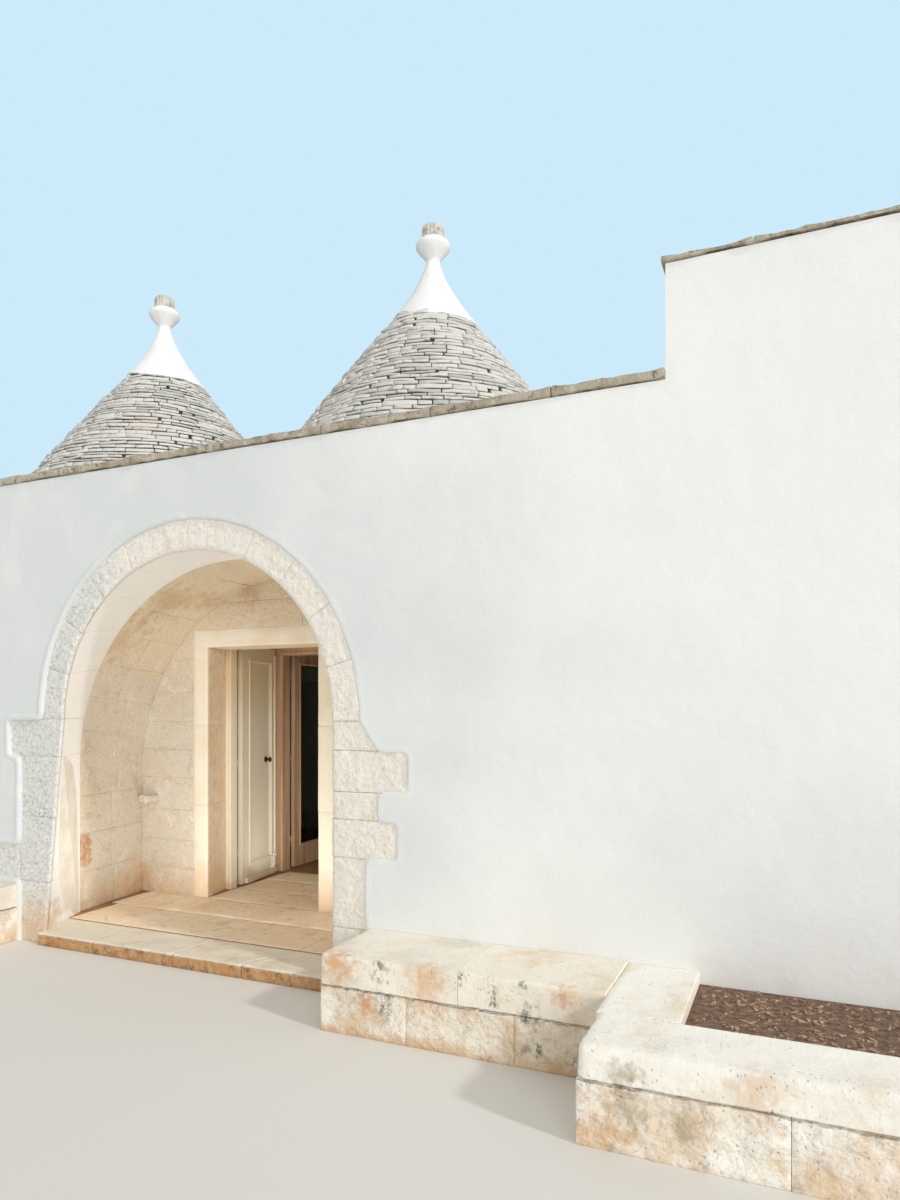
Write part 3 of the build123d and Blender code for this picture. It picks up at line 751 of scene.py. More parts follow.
def on_lintel(u, v, w):
    spot, outward = lintel.at(v)
    y, z = spot + outward * w
    return (surround_low.x + u, y, z)


surround.stone(on_lintel, (surround_high.x - surround_low.x, lintel.length, 0.02), 0.003, 0.06, 0.002,
               out=0.005, bends=((), lintel.bends))
surround.lay("surround_stones", surround_stone, "house")

# Porch floor and kerb
# Worn limestone slabs in an earth-coloured bed, stained orange by the soil, behind a kerb of four long
# stones with a smooth worn top and a rough split face that is brown from the ground.

slab_bed = Finish("slab_bed", (166, 128, 90), 0.95)
slab_bed.blotch((128, 96, 66), 7, 4, 0.4, 0.7, 0.7)
slab_bed.roughen(60, 5, 0.003)
slab_bed.dress("porch_floor", "room_floor")

slab_stone = Finish("slab_stone", (250, 230, 202), 0.8)
slab_stone.paint((244, 214, 176), slab_stone.toned(0.2, 0.9, 0.6))
slab_stone.blotch((254, 244, 226), 3, 5, 0.5, 0.75, 0.8)
slab_stone.blotch((222, 170, 120), 4, 6, 0.54, 0.76, 0.6, 0.65)
slab_stone.blotch((206, 156, 110), 11, 6, 0.54, 0.68, 0.6, 0.7)
slab_stone.roughen(12, 6, 0.010, 0.65)


def across_porch(near):
    """Run of a row of slabs, which is shorter under the portal."""
    if near >= portal_back:
        return [(-vault_half, vault_half)]
    reach = share(arch_radius + 0.12, vault_half, (near - stone_face) / (portal_back - stone_face))
    return [(-reach, reach)]


floor_slabs = Masonry(41)
kerb_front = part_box("porch_kerb")[0].y
kerb_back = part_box("porch_kerb")[1].y
porch_rows = coursed(kerb_back + 0.01, porch_back, (0.44, 0.25), across_porch, (0.62, 0.4), floor_slabs.rng)
door_rows = coursed(porch_back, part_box("inner_door_frame")[0].y, (0.34, 0.1),
                    lambda near: [(door_axis - door_half, door_axis + door_half)], (0.50, 0.2),
                    floor_slabs.rng)
for rows in (porch_rows, door_rows):
    for near, far, left, right in rows:

        def on_floor(u, v, w, left=left, near=near):
            return (left + u, near + v, floor_height + w)

        floor_slabs.stone(on_floor, (right - left, far - near, 0.02), 0.005, 0.06, 0.002,
                          (0.002, 0.002), 5, 0.005)
floor_slabs.lay("porch_slabs", slab_stone, "house")

kerb_stone = Finish("kerb_stone", (243, 234, 214), 0.88)
kerb_stone.blotch((226, 198, 158), 5, 5, 0.5, 0.75, 0.6)
split_face = (kerb_stone.band("Z", 40, 0.004, 0.066, 0.080, 1, 0),
              kerb_stone.between(kerb_stone.along("Y"), 0.0, 0.03, 1, 0))
kerb_stone.paint((214, 160, 108), *split_face)
kerb_stone.blotch((230, 192, 146), 14, 6, 0.44, 0.66, 0.8, 0.7, within=split_face)
kerb_stone.blotch((142, 98, 62), 16, 6, 0.50, 0.64, 0.8, 0.75, within=split_face)
kerb_stone.roughen(12, 6, 0.05, 0.7, within=split_face)
kerb_stone.roughen(40, 6, 0.010, 0.7)
kerb = Masonry(43)
kerb_splay = (vault_half - arch_radius) / portal_back
kerb_length = 2 * arch_radius + left_foot
for start, end in pairwise(uneven(0, 1, 0.25, 0.2, kerb.rng)):

    def on_kerb(u, v, w, start=start):
        y = kerb_front + w
        behind = max(0, y)
        left = -arch_radius - left_foot - behind * (kerb_splay - left_foot / portal_back)
        right = arch_radius + behind * kerb_splay
        return (share(left, right, start + u / kerb_length), y, v)

    kerb.block(on_kerb, ((end - start) * kerb_length - 0.004, floor_height, kerb_back - kerb_front),
               ((0.004, 0.004), (0.005, 0.010), (0.012, 0.005)), 0.022, 0.010, 9)
kerb.lay("kerb_stones", kerb_stone, "house", ("porch_kerb",))

# Outer door
# Two framed leaves painted cream, each with one sunk panel in a small moulding and a weather bar along
# the foot, hung on plain hinges in a painted frame behind the stone. The left one has a turned bronze
# knob with a small latch lever, a foot bolt, and a bead up its closing edge.

cream_paint = Finish("cream_paint", (243, 234, 211), 0.5)
# Painted shade: the leaves are painted darker towards their top.
cream_paint.paint((222, 198, 156), cream_paint.between(cream_paint.along("Z"), 1.4, 1.95, 0, 0.7))
cream_paint.blotch((232, 224, 202), 1.6, 4, 0.45, 0.7, 0.6)
cream_paint.paint((196, 160, 116), cream_paint.band("Z", 9, 0.04, 0.10, 0.22, 0.5, 0))
cream_paint.roughen(30, 4, 0.0008, factors=(1, 1, 0.08))
cream_paint.dress("outer_door_frame", "outer_door_left", "outer_door_right")


def leaf_place(half, pivot_y, face_back, angle, side):
    """Places on an open leaf: u from its hinge edge, v up from the ground, w out of its face."""
    turn = math.radians(angle)

    def on_leaf(u, v, w):
        along = pivot_offset + u
        across = -face_back - w
        x = along * math.cos(turn) - across * math.sin(turn)
        y = along * math.sin(turn) + across * math.cos(turn)
        return (door_axis + side * (half - x), pivot_y + y, v)

    return on_leaf


def moulding(place, low, high, section, sides=(0, 1, 2, 3)):
    """Mitred strips of one section round a rectangle: its foot, its right side, its head, its left."""
    corners = [(low[0], low[1], 1, 1), (high[0], low[1], -1, 1), (high[0], high[1], -1, -1),
               (low[0], high[1], 1, -1)]
    return [[[place(u + toward_u * inset, v + toward_v * inset, rise) for inset, rise in section]
             for u, v, toward_u, toward_v in (corners[side], corners[(side + 1) % 4])] for side in sides]


pivot_offset = 0.012
edge_gap = 0.004
outer_half = 0.622
outer_pivot_y = 1.717
outer_thickness = 0.045
outer_angle = 98
outer_length = outer_half - pivot_offset - edge_gap
panel_low = (0.135, 0.270)
panel_high = (outer_length - 0.085, 2.080)
panel_section = [(-0.014, -0.001), (-0.014, 0.005), (-0.006, 0.008), (0.001, 0.005), (0.006, -0.002),
                 (0.014, -0.005), (0.022, -0.0075), (0.022, -0.0105), (0.000, -0.0105), (0.000, -0.001)]
bead_section = [(0, -0.001), (0, 0.006), (0.004, 0.010), (0.012, 0.012), (0.020, 0.010), (0.024, 0.006),
                (0.024, -0.001)]
on_left_leaf = leaf_place(outer_half, outer_pivot_y, pivot_offset + outer_thickness, outer_angle, -1)
on_right_leaf = leaf_place(outer_half, outer_pivot_y, pivot_offset + outer_thickness, outer_angle, 1)
closing_bead = [[on_left_leaf(outer_length - inset, v, rise) for inset, rise in bead_section]
                for v in (0.150, 2.150)]
for name, on_outer, extra in (("left", on_left_leaf, [closing_bead]), ("right", on_right_leaf, [])):
    sweep(f"outer_{name}_mouldings", moulding(on_outer, panel_low, panel_high, panel_section) + extra,
          cream_paint, f"outer_{name}_leaf", crease=35)

frame_section = [(0, -0.001), (0, 0.004), (0.005, 0.008), (0.013, 0.008), (0.018, 0.003), (0.018, -0.001)]
outer_sight = 0.56
bead_width = 0.018


def on_outer_frame(u, v, w):
    return (u, surround_back - w, v)


frame_bead = moulding(on_outer_frame, (door_axis - outer_sight - bead_width, floor_height),
                      (door_axis + outer_sight + bead_width, door_height + bead_width), frame_section,
                      (1, 2, 3))
sweep("outer_frame_bead", frame_bead, cream_paint, "house", crease=35)

dark_bronze = Finish("dark_bronze", (110, 88, 66), 0.38)
dark_bronze.shader.inputs["Metallic"].default_value = 1
dark_bronze.blotch((58, 46, 36), 40, 4, 0.4, 0.7, 0.8)
dark_bronze.roughen(120, 4, 0.0004)


def round_turns(sides):
    """The turns that divide a circle into so many sides."""
    return [2 * math.pi * step / sides for step in range(sides)]


def bar(start, end, radii, sides=16):
    """Round bar on the left outer leaf from start to end, with a radius at each of a few shares."""
    start = Vector(start)
    along = Vector(end) - start
    across = along.orthogonal().normalized()
    beside = along.normalized().cross(across)
    spokes = [across * math.cos(turn) + beside * math.sin(turn) for turn in round_turns(sides)]
    return [[on_left_leaf(*(start + along * amount + spoke * radius)) for spoke in spokes]
            for amount, radius in radii]


knob_u = 0.450 - pivot_offset
knob_z = 1.180
knob_seat = -0.010
knob_reach = 0.055
knob_turning = ((0, 0.027), (0.06, 0.027), (0.11, 0.022), (0.13, 0.012), (0.50, 0.0105), (0.62, 0.014),
                (0.68, 0.020), (0.76, 0.023), (0.88, 0.023), (0.96, 0.018), (1, 0.010))
lever_turning = ((0, 0.004), (0.1, 0.006), (0.8, 0.0045), (1, 0.003))
hardware = [bar((knob_u, knob_z, knob_seat), (knob_u, knob_z, knob_seat + knob_reach), knob_turning, 32),
            bar((knob_u - 0.020, knob_z, 0.004), (knob_u - 0.052, knob_z - 0.004, 0.006), lever_turning)]
sweep("door_knob", hardware, dark_bronze, "outer_left_leaf", ("outer_door_knob",))

white_paint = Finish("white_paint", (238, 234, 224), 0.45)
white_paint.blotch((204, 190, 164), 30, 5, 0.5, 0.7, 0.6)
white_paint.roughen(90, 4, 0.0006)
bolt_u = outer_length - 0.055
plate_section = ((-0.018, 0), (-0.018, 0.003), (-0.015, 0.005), (0.015, 0.005), (0.018, 0.003), (0.018, 0))
bolt = [[[on_left_leaf(bolt_u + across, v, rise) for across, rise in plate_section] for v in (0.150, 0.260)],
        bar((bolt_u, 0.104, 0.014), (bolt_u, 0.290, 0.014),
            ((0, 0.005), (0.03, 0.007), (0.97, 0.007), (1, 0.005))),
        bar((bolt_u, 0.270, 0.014), (bolt_u, 0.270, 0.040),
            ((0, 0.005), (0.6, 0.005), (0.8, 0.009), (1, 0.007)))]
for height in (0.165, 0.235):
    bolt.append(bar((bolt_u, height - 0.009, 0.012), (bolt_u, height + 0.009, 0.012),
                    ((0, 0.011), (1, 0.011))))
sweep("foot_bolt", bolt, white_paint, "outer_left_leaf", crease=35)

# Inner door
# Two glazed leaves in a brown varnished frame, which open into the room. The frame is ribbed like an
# architrave, and small beads hold the glass.

brown_wood = Finish("brown_wood", (216, 180, 146), 0.45)
brown_wood.blotch((172, 136, 104), 14, 5, 0.4, 0.7, 0.8, factors=(1, 1, 0.06))
brown_wood.blotch((228, 198, 166), 40, 4, 0.6, 0.8, 0.5, factors=(1, 1, 0.05))
brown_wood.roughen(60, 4, 0.0006, factors=(1, 1, 0.05))
brown_wood.dress("inner_door_frame", "inner_door_left", "inner_door_right")
pane = Finish("pane", (200, 210, 205), 0.03)
pane.shader.inputs["Transmission Weight"].default_value = 1
pane.shader.inputs["IOR"].default_value = 1.5
pane.blotch((176, 190, 186), 3, 4, 0.4, 0.8, 0.4)
pane.dress("inner_glass_left", "inner_glass_right")

inner_half = 0.657
inner_pivot_y = 2.577
inner_thickness = 0.040
inner_angle = 90
inner_length = inner_half - pivot_offset - edge_gap
inner_frame_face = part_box("inner_door_frame")[0].y
glazing_section = [(-0.010, -0.001), (-0.010, 0.004), (-0.004, 0.007), (0.004, 0.005), (0.010, -0.004),
                   (0.014, -0.012), (0.014, -0.0155), (0.000, -0.0155), (0.000, -0.001)]
for side, name in ((-1, "left"), (1, "right")):
    on_inner = leaf_place(inner_half, inner_pivot_y, pivot_offset + inner_thickness, inner_angle, side)
    beads = moulding(on_inner, (0.100, 0.300), (inner_length - 0.100, 2.100), glazing_section)
    sweep(f"inner_{name}_beads", beads, brown_wood, f"inner_{name}_leaf", crease=35)


def on_inner_frame(u, v, w):
    return (u, inner_frame_face - w, v)


ribs = []
for half, width, rise in ((0.735, 0.030, 0.014), (0.690, 0.012, 0.007), (0.640, 0.022, 0.010)):
    rib_section = [(0, -0.001), (0, 0.6 * rise), (0.2 * width, rise), (0.8 * width, rise),
                   (width, 0.6 * rise), (width, -0.001)]
    ribs += moulding(on_inner_frame, (door_axis - half, floor_height), (door_axis + half, 1.555 + half),
                     rib_section, (1, 2, 3))
sweep("inner_frame_ribs", ribs, brown_wood, "house", crease=35)

# Corbelled cones
# Each cone is laid dry in level rings of thin limestone slabs, every ring a little inside the one
# below, round a rough core of rubble. The slabs are split, not sawn, so the joints are wavy, and here
# and there a small one has fallen out. The core is painted nearly black as painted shade, so the
# gaps between the slabs read dark.

# Painted shade: the core is nearly black so that the gaps between the slabs show as shade.
shaded_cone_core = Finish("shaded_cone_core", (70, 66, 60), 0.95)
shaded_cone_core.blotch((40, 38, 34), 9, 4, 0.4, 0.7, 0.8)
shaded_cone_core.roughen(20, 5, 0.01)

cone_slab = Finish("cone_slab", (216, 214, 207), 0.93)
cone_slab.paint((182, 182, 177), cone_slab.toned(0.45, 0, 0.8))
cone_slab.paint((222, 219, 210), cone_slab.toned(0.6, 1, 0.8))
cone_slab.blotch((146, 142, 132), 11, 6, 0.54, 0.70, 0.8, 0.7)
cone_slab.blotch((214, 196, 170), 1.1, 4, 0.58, 0.82, 0.5)
cone_slab.roughen(30, 6, 0.010, 0.7)

cone_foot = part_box("cone_right_front")[0].z
cone_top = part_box("cone_right_front")[1].z
cone_base_radius = 2.51
cone_top_radius = 0.59
cone_bulge = 0.085
cap_height = 0.90
cap_sweep = 1.4
neck_radius = 0.075
core_set_back = 0.035
dome_axis_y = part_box("cone_right_front")[1].y
cone_axes = {"left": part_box("cone_left_front")[0].x + cone_base_radius,
             "right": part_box("cone_right_front")[1].x - cone_base_radius}
valley = (cone_axes["left"] + cone_axes["right"]) / 2


def slope_radius(height):
    """Radius of the swelling slope at a height, and of the sweep of the cap above it."""
    if height > cone_top:
        left_over = max(0, 1 - (height - cone_top) / cap_height)
        return share(neck_radius, cone_top_radius, left_over ** cap_sweep)
    part = (height - cone_foot) / (cone_top - cone_foot)
    return share(cone_base_radius, cone_top_radius, part) + 4 * cone_bulge * part * (1 - part)


def round_point(axis_x, radius, turn, height):
    """Point at a radius and a turn round a cone's axis."""
    return (axis_x + radius * math.cos(turn), dome_axis_y + radius * math.sin(turn), height)


def round_noise(turn, scale, height):
    """Noise that closes up round an axis."""
    return noise.noise(Vector((math.cos(turn) * scale, math.sin(turn) * scale, height)))


def turned_ring(axis_x, radius, height, sides, side=None):
    """Level ring round a cone's axis, cut off at the valley where a side of it is given."""
    ring = [round_point(axis_x, radius, turn, height) for turn in round_turns(sides)]
    if side:
        nearer = min if side == "left" else max
        ring = [(nearer(x, valley), y, z) for x, y, z in ring]
    return ring


def cap_foot(turn, axis_x):
    """Height of the ragged foot of the cap's plaster, which stops higher on one side."""
    bare_side = max(0, math.cos(turn - math.radians(215))) ** 2
    ragged = 0.03 * round_noise(turn, 3, axis_x) + 0.016 * round_noise(turn, 12, axis_x * 4)
    return cone_top + 0.03 + 0.17 * bare_side + ragged


core_sides = 72
core_levels = 24
dome_foot_radius = 1.585
dome_rise = 2.55
dome_eye_radius = 0.32
dome_closing = 1 - (dome_eye_radius / dome_foot_radius) ** 2
dome_levels = 12
stones_top = cone_top + 0.24
slab_height = 0.054
slab_length = 0.25
valley_lap = 0.10
for side, axis_x, seed in (("left", cone_axes["left"], 53), ("right", cone_axes["right"], 59)):
    core_rings = []
    for step in range(core_levels + 1):
        height = cone_foot + (stones_top - cone_foot) * step / core_levels
        core_rings.append(turned_ring(axis_x, slope_radius(height) - core_set_back, height, core_sides, side))
    for step in range(dome_levels, -1, -1):
        radius = dome_foot_radius * math.sqrt(1 - dome_closing * step / dome_levels)
        core_rings.append(turned_ring(axis_x, radius, cone_foot + dome_rise * step / dome_levels, core_sides))
    sweep(f"cone_{side}_core", [core_rings + core_rings[:1]], shaded_cone_core, "house",
          (f"cone_{side}_front", f"cone_{side}_back"))

    slabs = Masonry(seed)
    rng = slabs.rng
    inward = 1 if side == "left" else -1
    for low, high in pairwise(uneven(cone_foot, stones_top, slab_height, 0.28, rng)):
        radius = slope_radius((low + high) / 2)
        lean = (slope_radius(high) - slope_radius(low)) / (high - low)
        turns = uneven(0, 2 * math.pi, slab_length / radius, 0.6, rng)
        offset = rng.uniform(0, 2 * math.pi)
        for start, end in pairwise(turns):
            start += offset
            end += offset
            middle = (start + end) / 2
            past_valley = inward * (axis_x + radius * math.cos(middle) - valley) > valley_lap
            if past_valley or low > cap_foot(middle, axis_x) - 0.01:
                continue
            gap = rng.uniform(0.02, 0.04) if rng.random() < 0.04 else 0
            tilt = rng.uniform(-0.03, 0.03)
            thin = rng.uniform(0, 0.005)

            def on_cone(u, v, w, low=low, start=start, radius=radius, lean=lean, axis_x=axis_x, tilt=tilt):
                angle = start + u / radius
                height = low + v + 0.010 * round_noise(angle, 4, low * 3) + tilt * (u - 0.12)
                out = radius + lean * 0.6 * (v - slab_height / 2) + w
                return round_point(axis_x, out, angle, max(cone_foot, height))

            slabs.stone(on_cone, ((end - start) * radius - gap, high - low, 0.06), 0.006, 0.09, 0.015,
                        (0.003 + thin, 0.0065 + thin), 8, 0.004, fine=False)
    slabs.lay(f"cone_{side}_slabs", cone_slab, "house")

# Caps and crown stones
# Over the last rings each cone is plastered to a smooth cap, which sweeps up to a thin neck and a round
# bowl, all limewashed. The plaster's foot is ragged and stops higher on one side. A fluted grey stone
# sits in the bowl.

cap_wash = Finish("cap_wash", (241, 242, 240), 0.9)
cap_wash.blotch((230, 230, 226), 5, 5, 0.45, 0.75, 0.7)
cap_wash.roughen(14, 4, 0.006)
cap_sides = 96
cap_levels = 28
bowl_profile = [(0.078, 6.795), (0.092, 6.812), (0.118, 6.840), (0.150, 6.875), (0.178, 6.908),
                (0.194, 6.932), (0.200, 6.952), (0.196, 6.972), (0.184, 6.992), (0.166, 7.010),
                (0.146, 7.022), (0.128, 7.026)]
cap_runs = []
for axis_x in cone_axes.values():
    ragged = [(turn, cap_foot(turn, axis_x)) for turn in round_turns(cap_sides)]
    rings = [[round_point(axis_x, slope_radius(foot + rise) + swell, turn, foot + rise)
              for turn, foot in ragged]
             for swell, rise in ((-0.10, 0.05), (-0.035, 0), (-0.006, 0), (0.012, 0.008))]
    for level in range(1, cap_levels + 1):
        ring = []
        for turn, foot in ragged:
            height = share(foot + 0.008, cone_top + cap_height, (level / cap_levels) ** 1.1)
            swell = (0.012 + 0.010 * round_noise(turn, 1.5, height * 4)) * (1 - level / cap_levels)
            ring.append(round_point(axis_x, slope_radius(height) + swell, turn, height))
        rings.append(ring)
    rings += [turned_ring(axis_x, radius, height, cap_sides) for radius, height in bowl_profile]
    cap_runs.append(rings)
sweep("cap_plaster", cap_runs, cap_wash, "house", ("cone_caps",))

crown_stone = Finish("crown_stone", (208, 205, 192), 0.9)
crown_stone.blotch((150, 148, 138), 14, 5, 0.46, 0.66, 0.8)
crown_stone.roughen(60, 5, 0.004)
crown_low, crown_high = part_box("crown_stones")
crown_radius = 0.133
flutes = 17
crown_profile = ((0, 0.93), (0.06, 0.98), (0.30, 1), (0.62, 0.985), (0.80, 0.975), (0.90, 0.93),
                 (0.97, 0.80), (1, 0.45))
crown_runs = []
for axis_x in cone_axes.values():
    rings = []
    for level, swell in crown_profile:
        height = share(crown_low.z - 0.01, crown_high.z, level)
        ring = []
        for turn in round_turns(8 * flutes):
            flute = 0.055 * abs(math.sin(flutes * turn / 2 + noise.noise(Vector((turn, 0, level)))))
            chipped = 0.03 * round_noise(turn, 4, level * 5)
            ring.append(round_point(axis_x, crown_radius * swell * (0.935 + flute + chipped), turn, height))
        rings.append(ring)
    crown_runs.append(rings)
sweep("crown_rocks", crown_runs, crown_stone, "house", ("crown_stones",))

# Coping
# A thin course of rough limestone slabs laid flat on the parapet, weathered grey-brown and full of
# dark pits, with a ragged edge that overhangs the wall by two fingers. The higher room has a thinner
# one.

coping_stone = Finish("coping_stone", (194, 184, 164), 0.95)
coping_stone.blotch((158, 144, 122), 6, 5, 0.4, 0.65, 0.8)
coping_stone.blotch((218, 210, 194), 14, 5, 0.52, 0.68, 0.8)
coping_stone.blotch((176, 136, 112), 4, 5, 0.56, 0.72, 0.6)
coping_pits = coping_stone.noise(26, 5, 0.7)
coping_stone.paint((96, 88, 72), coping_stone.between(coping_pits, 0.54, 0.66, 0, 0.85))
coping_stone.emboss(coping_stone.combine("SUBTRACT", 1, coping_pits), 0.02)


def along_x(x0, y0, z0):
    """Places in a stone laid along X: u along, v up, w into the house."""
    return lambda u, v, w: (x0 + u, y0 + w, z0 + v)


def along_y(x0, y0, z0):
    """Places in a stone laid along Y: u along, v up, w to the right."""
    return lambda u, v, w: (x0 + w, y0 + u, z0 + v)


coping_width = 0.39
for name, seed, sides in (("terrace_coping", 61, ("front", "back", "left")),
                          ("raised_coping", 67, ("front", "back", "left", "right"))):
    low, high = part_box(name)
    thickness = high.z - low.z
    coping = Masonry(seed)
    worn = ((0.006, 0.006), (0.3 * thickness, 0.3 * thickness), (0.015, 0.015))
    edges = {"front": low.y, "back": high.y - coping_width, "left": low.x, "right": high.x - coping_width}
    for side in sides:
        lengthways = side in ("front", "back")
        span = (low.x, high.x) if lengthways else (low.y + coping_width, high.y - coping_width)
        for start, end in pairwise(uneven(*span, 0.62, 0.3, coping.rng)):
            if lengthways:
                on_wall = along_x(start, edges[side], low.z)
            else:
                on_wall = along_y(edges[side], start, low.z)
            coping.block(on_wall, (end - start - 0.003, thickness, coping_width), worn, 0.042, 0.018, 14)
    coping.lay(f"{name}_stones", coping_stone, "house", (name,))

# Benches
# Two low walls of limestone against the facade: a course of rough blocks, hollowed and flaked, under
# two long slabs whose edges are worn round and bright by sitting. The face is stained orange by the soil
# and black where lichen grows.

bench_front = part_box("bench_right")[0].y
bench_bed = 0.238
bench_stone = Finish("bench_stone", (252, 243, 226), 0.85)
bench_stone.blotch((236, 210, 172), 3.5, 6, 0.48, 0.70, 0.75, 0.65)
bench_stone.blotch((222, 220, 210), 1.7, 4, 0.52, 0.75, 0.7)
bench_stone.blotch((250, 245, 233), 11, 6, 0.54, 0.68, 0.7, 0.7)
bench_stone.paint((218, 176, 130), bench_stone.band("Z", 9, 0.04, 0, 0.08, 0.75, 0))
below_bed = bench_stone.band("Z", 12, 0.006, 0.225, 0.245, 1, 0)
bench_stone.blotch((222, 190, 150), 6, 6, 0.44, 0.62, 0.7, 0.7, within=(below_bed,))
bench_stone.roughen(8, 5, 0.06, factors=(1, 1, 1.3), within=(below_bed,))
for x, z, radius, strength in ((1.45, 0.35, 0.09, 0.8), (1.61, 0.17, 0.06, 0.9), (1.95, 0.33, 0.10, 0.5),
                               (2.62, 0.36, 0.05, 0.7)):
    bench_stone.paint((222, 168, 116), bench_stone.near((x, bench_front, z), radius, strength))
crusted = bench_stone.cloud(30, 6, 0.44, 0.56, 1, 0.75, (1, 1, 0.7))
for x, z, radius, tall in ((1.68, 0.34, 0.055, 1), (1.72, 0.18, 0.030, 2.6), (2.13, 0.38, 0.030, 1.5),
                           (2.29, 0.30, 0.028, 2.2), (2.44, 0.38, 0.028, 1), (2.47, 0.24, 0.045, 1.2),
                           (2.50, 0.10, 0.060, 0.6), (2.68, 0.05, 0.04, 0.6)):
    bench_stone.paint((112, 104, 88), crusted, bench_stone.near((x, bench_front, z), radius, 0.95, tall))
bench_stone.roughen(26, 6, 0.009, 0.7)
bench_stone.pit(50)

sat_round = 0.016
for name, seed in (("bench_left", 73), ("bench_right", 71)):
    low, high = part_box(name)
    bench = Masonry(seed)
    for bottom, top, mean, set_back, rough, grain, top_worn in (
            (0, bench_bed, 0.46, 0.001, 0.034, 8, 0.003), (bench_bed, high.z, 0.74, 0, 0.010, 6, sat_round)):
        ends = uneven(low.x, high.x, mean, 0.2, bench.rng)
        for start, end in pairwise(ends):
            first_worn = sat_round if start == ends[0] else 0.003
            last_worn = sat_round if end == ends[-1] and name == "bench_left" else 0.003
            bench.block(along_x(start, low.y + set_back, bottom),
                        (end - start - 0.001, top - bottom - 0.001, high.y - low.y - set_back),
                        ((first_worn, last_worn), (0.003, top_worn), (0.003 + 0.8 * top_worn, 0.004)),
                        0.024, rough, grain)
    bench.lay(f"{name}_stones", bench_stone, "house", (name,))

# Planter
# A box of thick limestone walls: a rough lower course that is hollow with weather, and long slabs on
# top with a fat worn edge. It is filled with dark earth under bark chips.

planter_low, planter_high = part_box("planter_wall")
planter_wall = 0.34
planter_bed = 0.253
planter_stone = Finish("planter_stone", (254, 250, 239), 0.85)
planter_stone.blotch((234, 214, 182), 3, 6, 0.46, 0.70, 0.65, 0.65)
planter_stone.blotch((238, 232, 219), 1.5, 4, 0.52, 0.75, 0.6)
planter_stone.blotch((252, 248, 237), 10, 6, 0.54, 0.68, 0.6, 0.7)
lower_course = planter_stone.band("Z", 12, 0.006, 0.240, 0.260, 1, 0)
planter_stone.blotch((224, 196, 160), 5, 6, 0.40, 0.62, 0.8, 0.7, within=(lower_course,))
planter_stone.roughen(7, 4, 0.06, 0.5, (1, 1, 1.3), within=(lower_course,))
grey_stain = (168, 148, 112)
orange_stain = (222, 180, 134)
for colour, x, z, radius, strength, tall in (
        (grey_stain, 3.00, 0.29, 0.07, 0.55, 0.8), (grey_stain, 3.02, 0.17, 0.07, 0.6, 1.6),
        (grey_stain, 3.22, 0.17, 0.05, 0.5, 1.8), (orange_stain, 2.92, 0.03, 0.11, 0.85, 1),
        (orange_stain, 3.46, 0.31, 0.09, 0.5, 1), (orange_stain, 3.80, 0.10, 0.16, 0.4, 1),
        (orange_stain, 4.40, 0.31, 0.05, 0.7, 1)):
    planter_stone.paint(colour, planter_stone.near((x, planter_low.y, z), radius, strength, tall))
planter_stone.blotch((176, 164, 140), 30, 6, 0.56, 0.68, 0.5, 0.7,
                     within=(planter_stone.band("Z", 6, 0.05, 0.25, 0.33, 1, 0),))
planter_stone.roughen(24, 6, 0.007, 0.65)
planter_stone.pit(45)

planter = Masonry(79)
for bottom, top, mean, set_back, rough, grain, top_worn in (
        (0, planter_bed, 0.78, 0.001, 0.036, 6, 0.003),
        (planter_bed, planter_high.z, 1.55, 0, 0.014, 5, 0.038)):
    height = top - bottom - 0.001
    front_worn = 0.003 + 0.8 * top_worn
    ends = uneven(planter_low.x + set_back, planter_high.x - set_back, mean, 0.15, planter.rng)
    for start, end in pairwise(ends):
        first_worn = front_worn if start == ends[0] else 0.003
        last_worn = front_worn if end == ends[-1] else 0.003
        planter.block(along_x(start, planter_low.y + set_back, bottom),
                      (end - start - 0.001, height, planter_wall - set_back),
                      ((first_worn, last_worn), (0.003, top_worn), (front_worn, 0.004)), 0.026, rough, grain)
    for x0, left_worn, right_worn in ((planter_low.x + set_back, 0.005, 0.004),
                                      (planter_high.x - planter_wall, 0.004, front_worn)):
        planter.block(along_y(x0, planter_low.y + planter_wall + 0.001, bottom),
                      (-planter_low.y - planter_wall - 0.001, height, planter_wall - set_back),
                      ((0.004, 0.004), (0.004, 0.012), (left_worn, right_worn)), 0.026, 0.3 * rough, grain)
planter.lay("planter_stones", planter_stone, "house", ("planter_wall",))

earth = Finish("earth", (146, 118, 96), 0.95)
earth.blotch((104, 82, 66), 30, 5, 0.4, 0.65, 0.9)
earth.roughen(50, 6, 0.02, 0.7)
soil_low, soil_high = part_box("planter_soil")
soil_size = (soil_high.x - soil_low.x, soil_high.z, soil_high.y - soil_low.y)
soil = Masonry(83)
soil.block(along_x(soil_low.x, soil_low.y, 0), soil_size, ((0.004, 0.004),) * 3, 0.035, 0.020, 12)
soil.lay("planter_earth", earth, "house", ("planter_soil",))

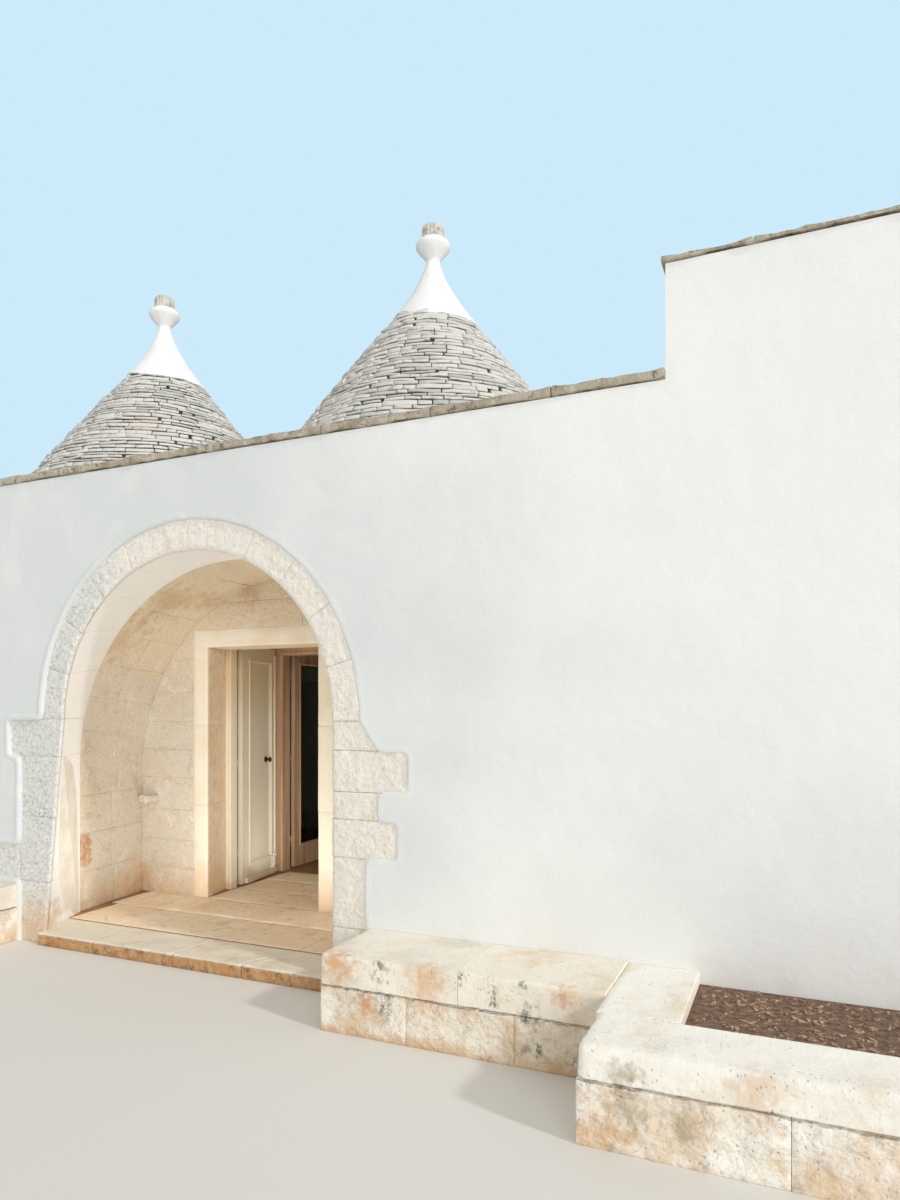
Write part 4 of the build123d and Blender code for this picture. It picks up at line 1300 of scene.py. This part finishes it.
bark = Finish("bark", (184, 148, 122), 0.9)
bark.blotch((134, 102, 82), 38, 3, 0.42, 0.58, 0.9)
bark.blotch((216, 184, 152), 27, 3, 0.54, 0.64, 0.8)
bark.roughen(90, 4, 0.003)
bark_rng = random.Random(89)
chip_count = 2600
chip_corners = ((-1, -1), (1, -1), (1, 1), (-1, 1))
chips = []
for _ in range(chip_count):
    centre = Vector((bark_rng.uniform(soil_low.x + 0.03, soil_high.x - 0.03),
                     bark_rng.uniform(soil_low.y + 0.03, soil_high.y - 0.03),
                     soil_high.z - bark_rng.uniform(0, 0.012)))
    turn = bark_rng.uniform(0, math.pi)
    reach = Vector((math.cos(turn), math.sin(turn), bark_rng.uniform(-0.35, 0.35)))
    reach *= bark_rng.uniform(0.010, 0.028)
    across = Vector((-math.sin(turn), math.cos(turn), bark_rng.uniform(-0.3, 0.3)))
    across *= bark_rng.uniform(0.004, 0.012)
    thick = Vector((0, 0, bark_rng.uniform(0.002, 0.004)))
    chips.append([[centre + reach * end + across * wide * taper + thick * up for wide, up in chip_corners]
                  for end, taper in ((-1, 0.6), (0.2, 1), (1, 0.5))])
sweep("bark_chips", chips, bark, "house", crease=30)

# Viewpoint, light and floor
# The camera stands where the photographer stood, at eye height in front of the planter. A low sun
# rakes the facade from the right, soft lamps fill the porch from in front and throw the light of its
# sunlit floor back up, and the sky is plain.

picture_height = 1200
horizon_from_top = 709
eye_height = 1.65
turned_left = 23.6
camera = add_object("camera", bpy.data.cameras.new("camera"))
camera.location = (3.60, -4.0, eye_height)
camera.rotation_euler = (math.radians(90), 0, math.radians(turned_left))
camera.data.sensor_fit = "VERTICAL"
camera.data.sensor_width = camera.data.sensor_height = 36
camera.data.lens = 24
camera.data.shift_y = (horizon_from_top - picture_height / 2) / picture_height
bpy.context.scene.camera = camera

for name, strength, softness, tilt, swing in (("key", 1.15, 4, 58, 76), ("fill", 1.42, 35, 84, 37)):
    sun = add_object(name, bpy.data.lights.new(name, "SUN"))
    sun.data.energy = strength
    sun.data.angle = math.radians(softness)
    sun.rotation_euler = (math.radians(tilt), 0, math.radians(swing))

for name, power, size, place in (("porch_bounce", 17, (1.8, 0.8), (-0.1, 0.65, 0.13)),
                                 ("passage_bounce", 3.5, (0.8, 0.45), (-0.34, 2.05, 0.13))):
    bounce = add_object(name, bpy.data.lights.new(name, "AREA"))
    bounce.data.energy = power
    bounce.data.shape = "RECTANGLE"
    bounce.data.size, bounce.data.size_y = size
    bounce.data.color = (1, 0.98, 0.95)
    bounce.location = place
    bounce.rotation_euler = (math.radians(165), 0, 0)
    bounce.visible_camera = False

world = bpy.data.worlds.new("sky")
world.use_nodes = True
bpy.context.scene.world = world
sky = world.node_tree
rays = sky.nodes.new("ShaderNodeLightPath")
seen = rays.outputs["Is Camera Ray"]
for kind in ("Is Glossy Ray", "Is Transmission Ray"):
    either = wired(sky, sky.nodes.new("ShaderNodeMath"), {0: seen, 1: rays.outputs[kind]})
    either.operation = "MAXIMUM"
    seen = either.outputs["Value"]
sky_colour = sky.nodes.new("ShaderNodeMix")
sky_colour.data_type = "RGBA"
wired(sky, sky_colour, {"Factor": seen, "A": (1, 1, 1, 1), "B": tint(203, 234, 250)})
sky_strength = wired(sky, sky.nodes.new("ShaderNodeMapRange"), {"Value": seen, "To Min": 0.55, "To Max": 1})
wired(sky, sky.nodes["Background"], {"Color": sky_colour.outputs["Result"],
                                     "Strength": sky_strength.outputs["Result"]})
bpy.context.scene.view_settings.view_transform = "Standard"

floor_reach = 60
floor_corners = [(x * floor_reach, y * floor_reach, 0) for x, y in chip_corners]
floor_mesh = bpy.data.meshes.new("studio_floor")
floor_mesh.from_pydata(floor_corners, [], [(0, 1, 2, 3)])
floor_mesh.materials.append(Finish("studio_floor", (232, 229, 222), 0.9).material)
add_object("studio_floor", floor_mesh)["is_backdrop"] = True

low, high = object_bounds()
{"cad": [list(cad_low), list(cad_high)], "visual": [list(low), list(high)]}
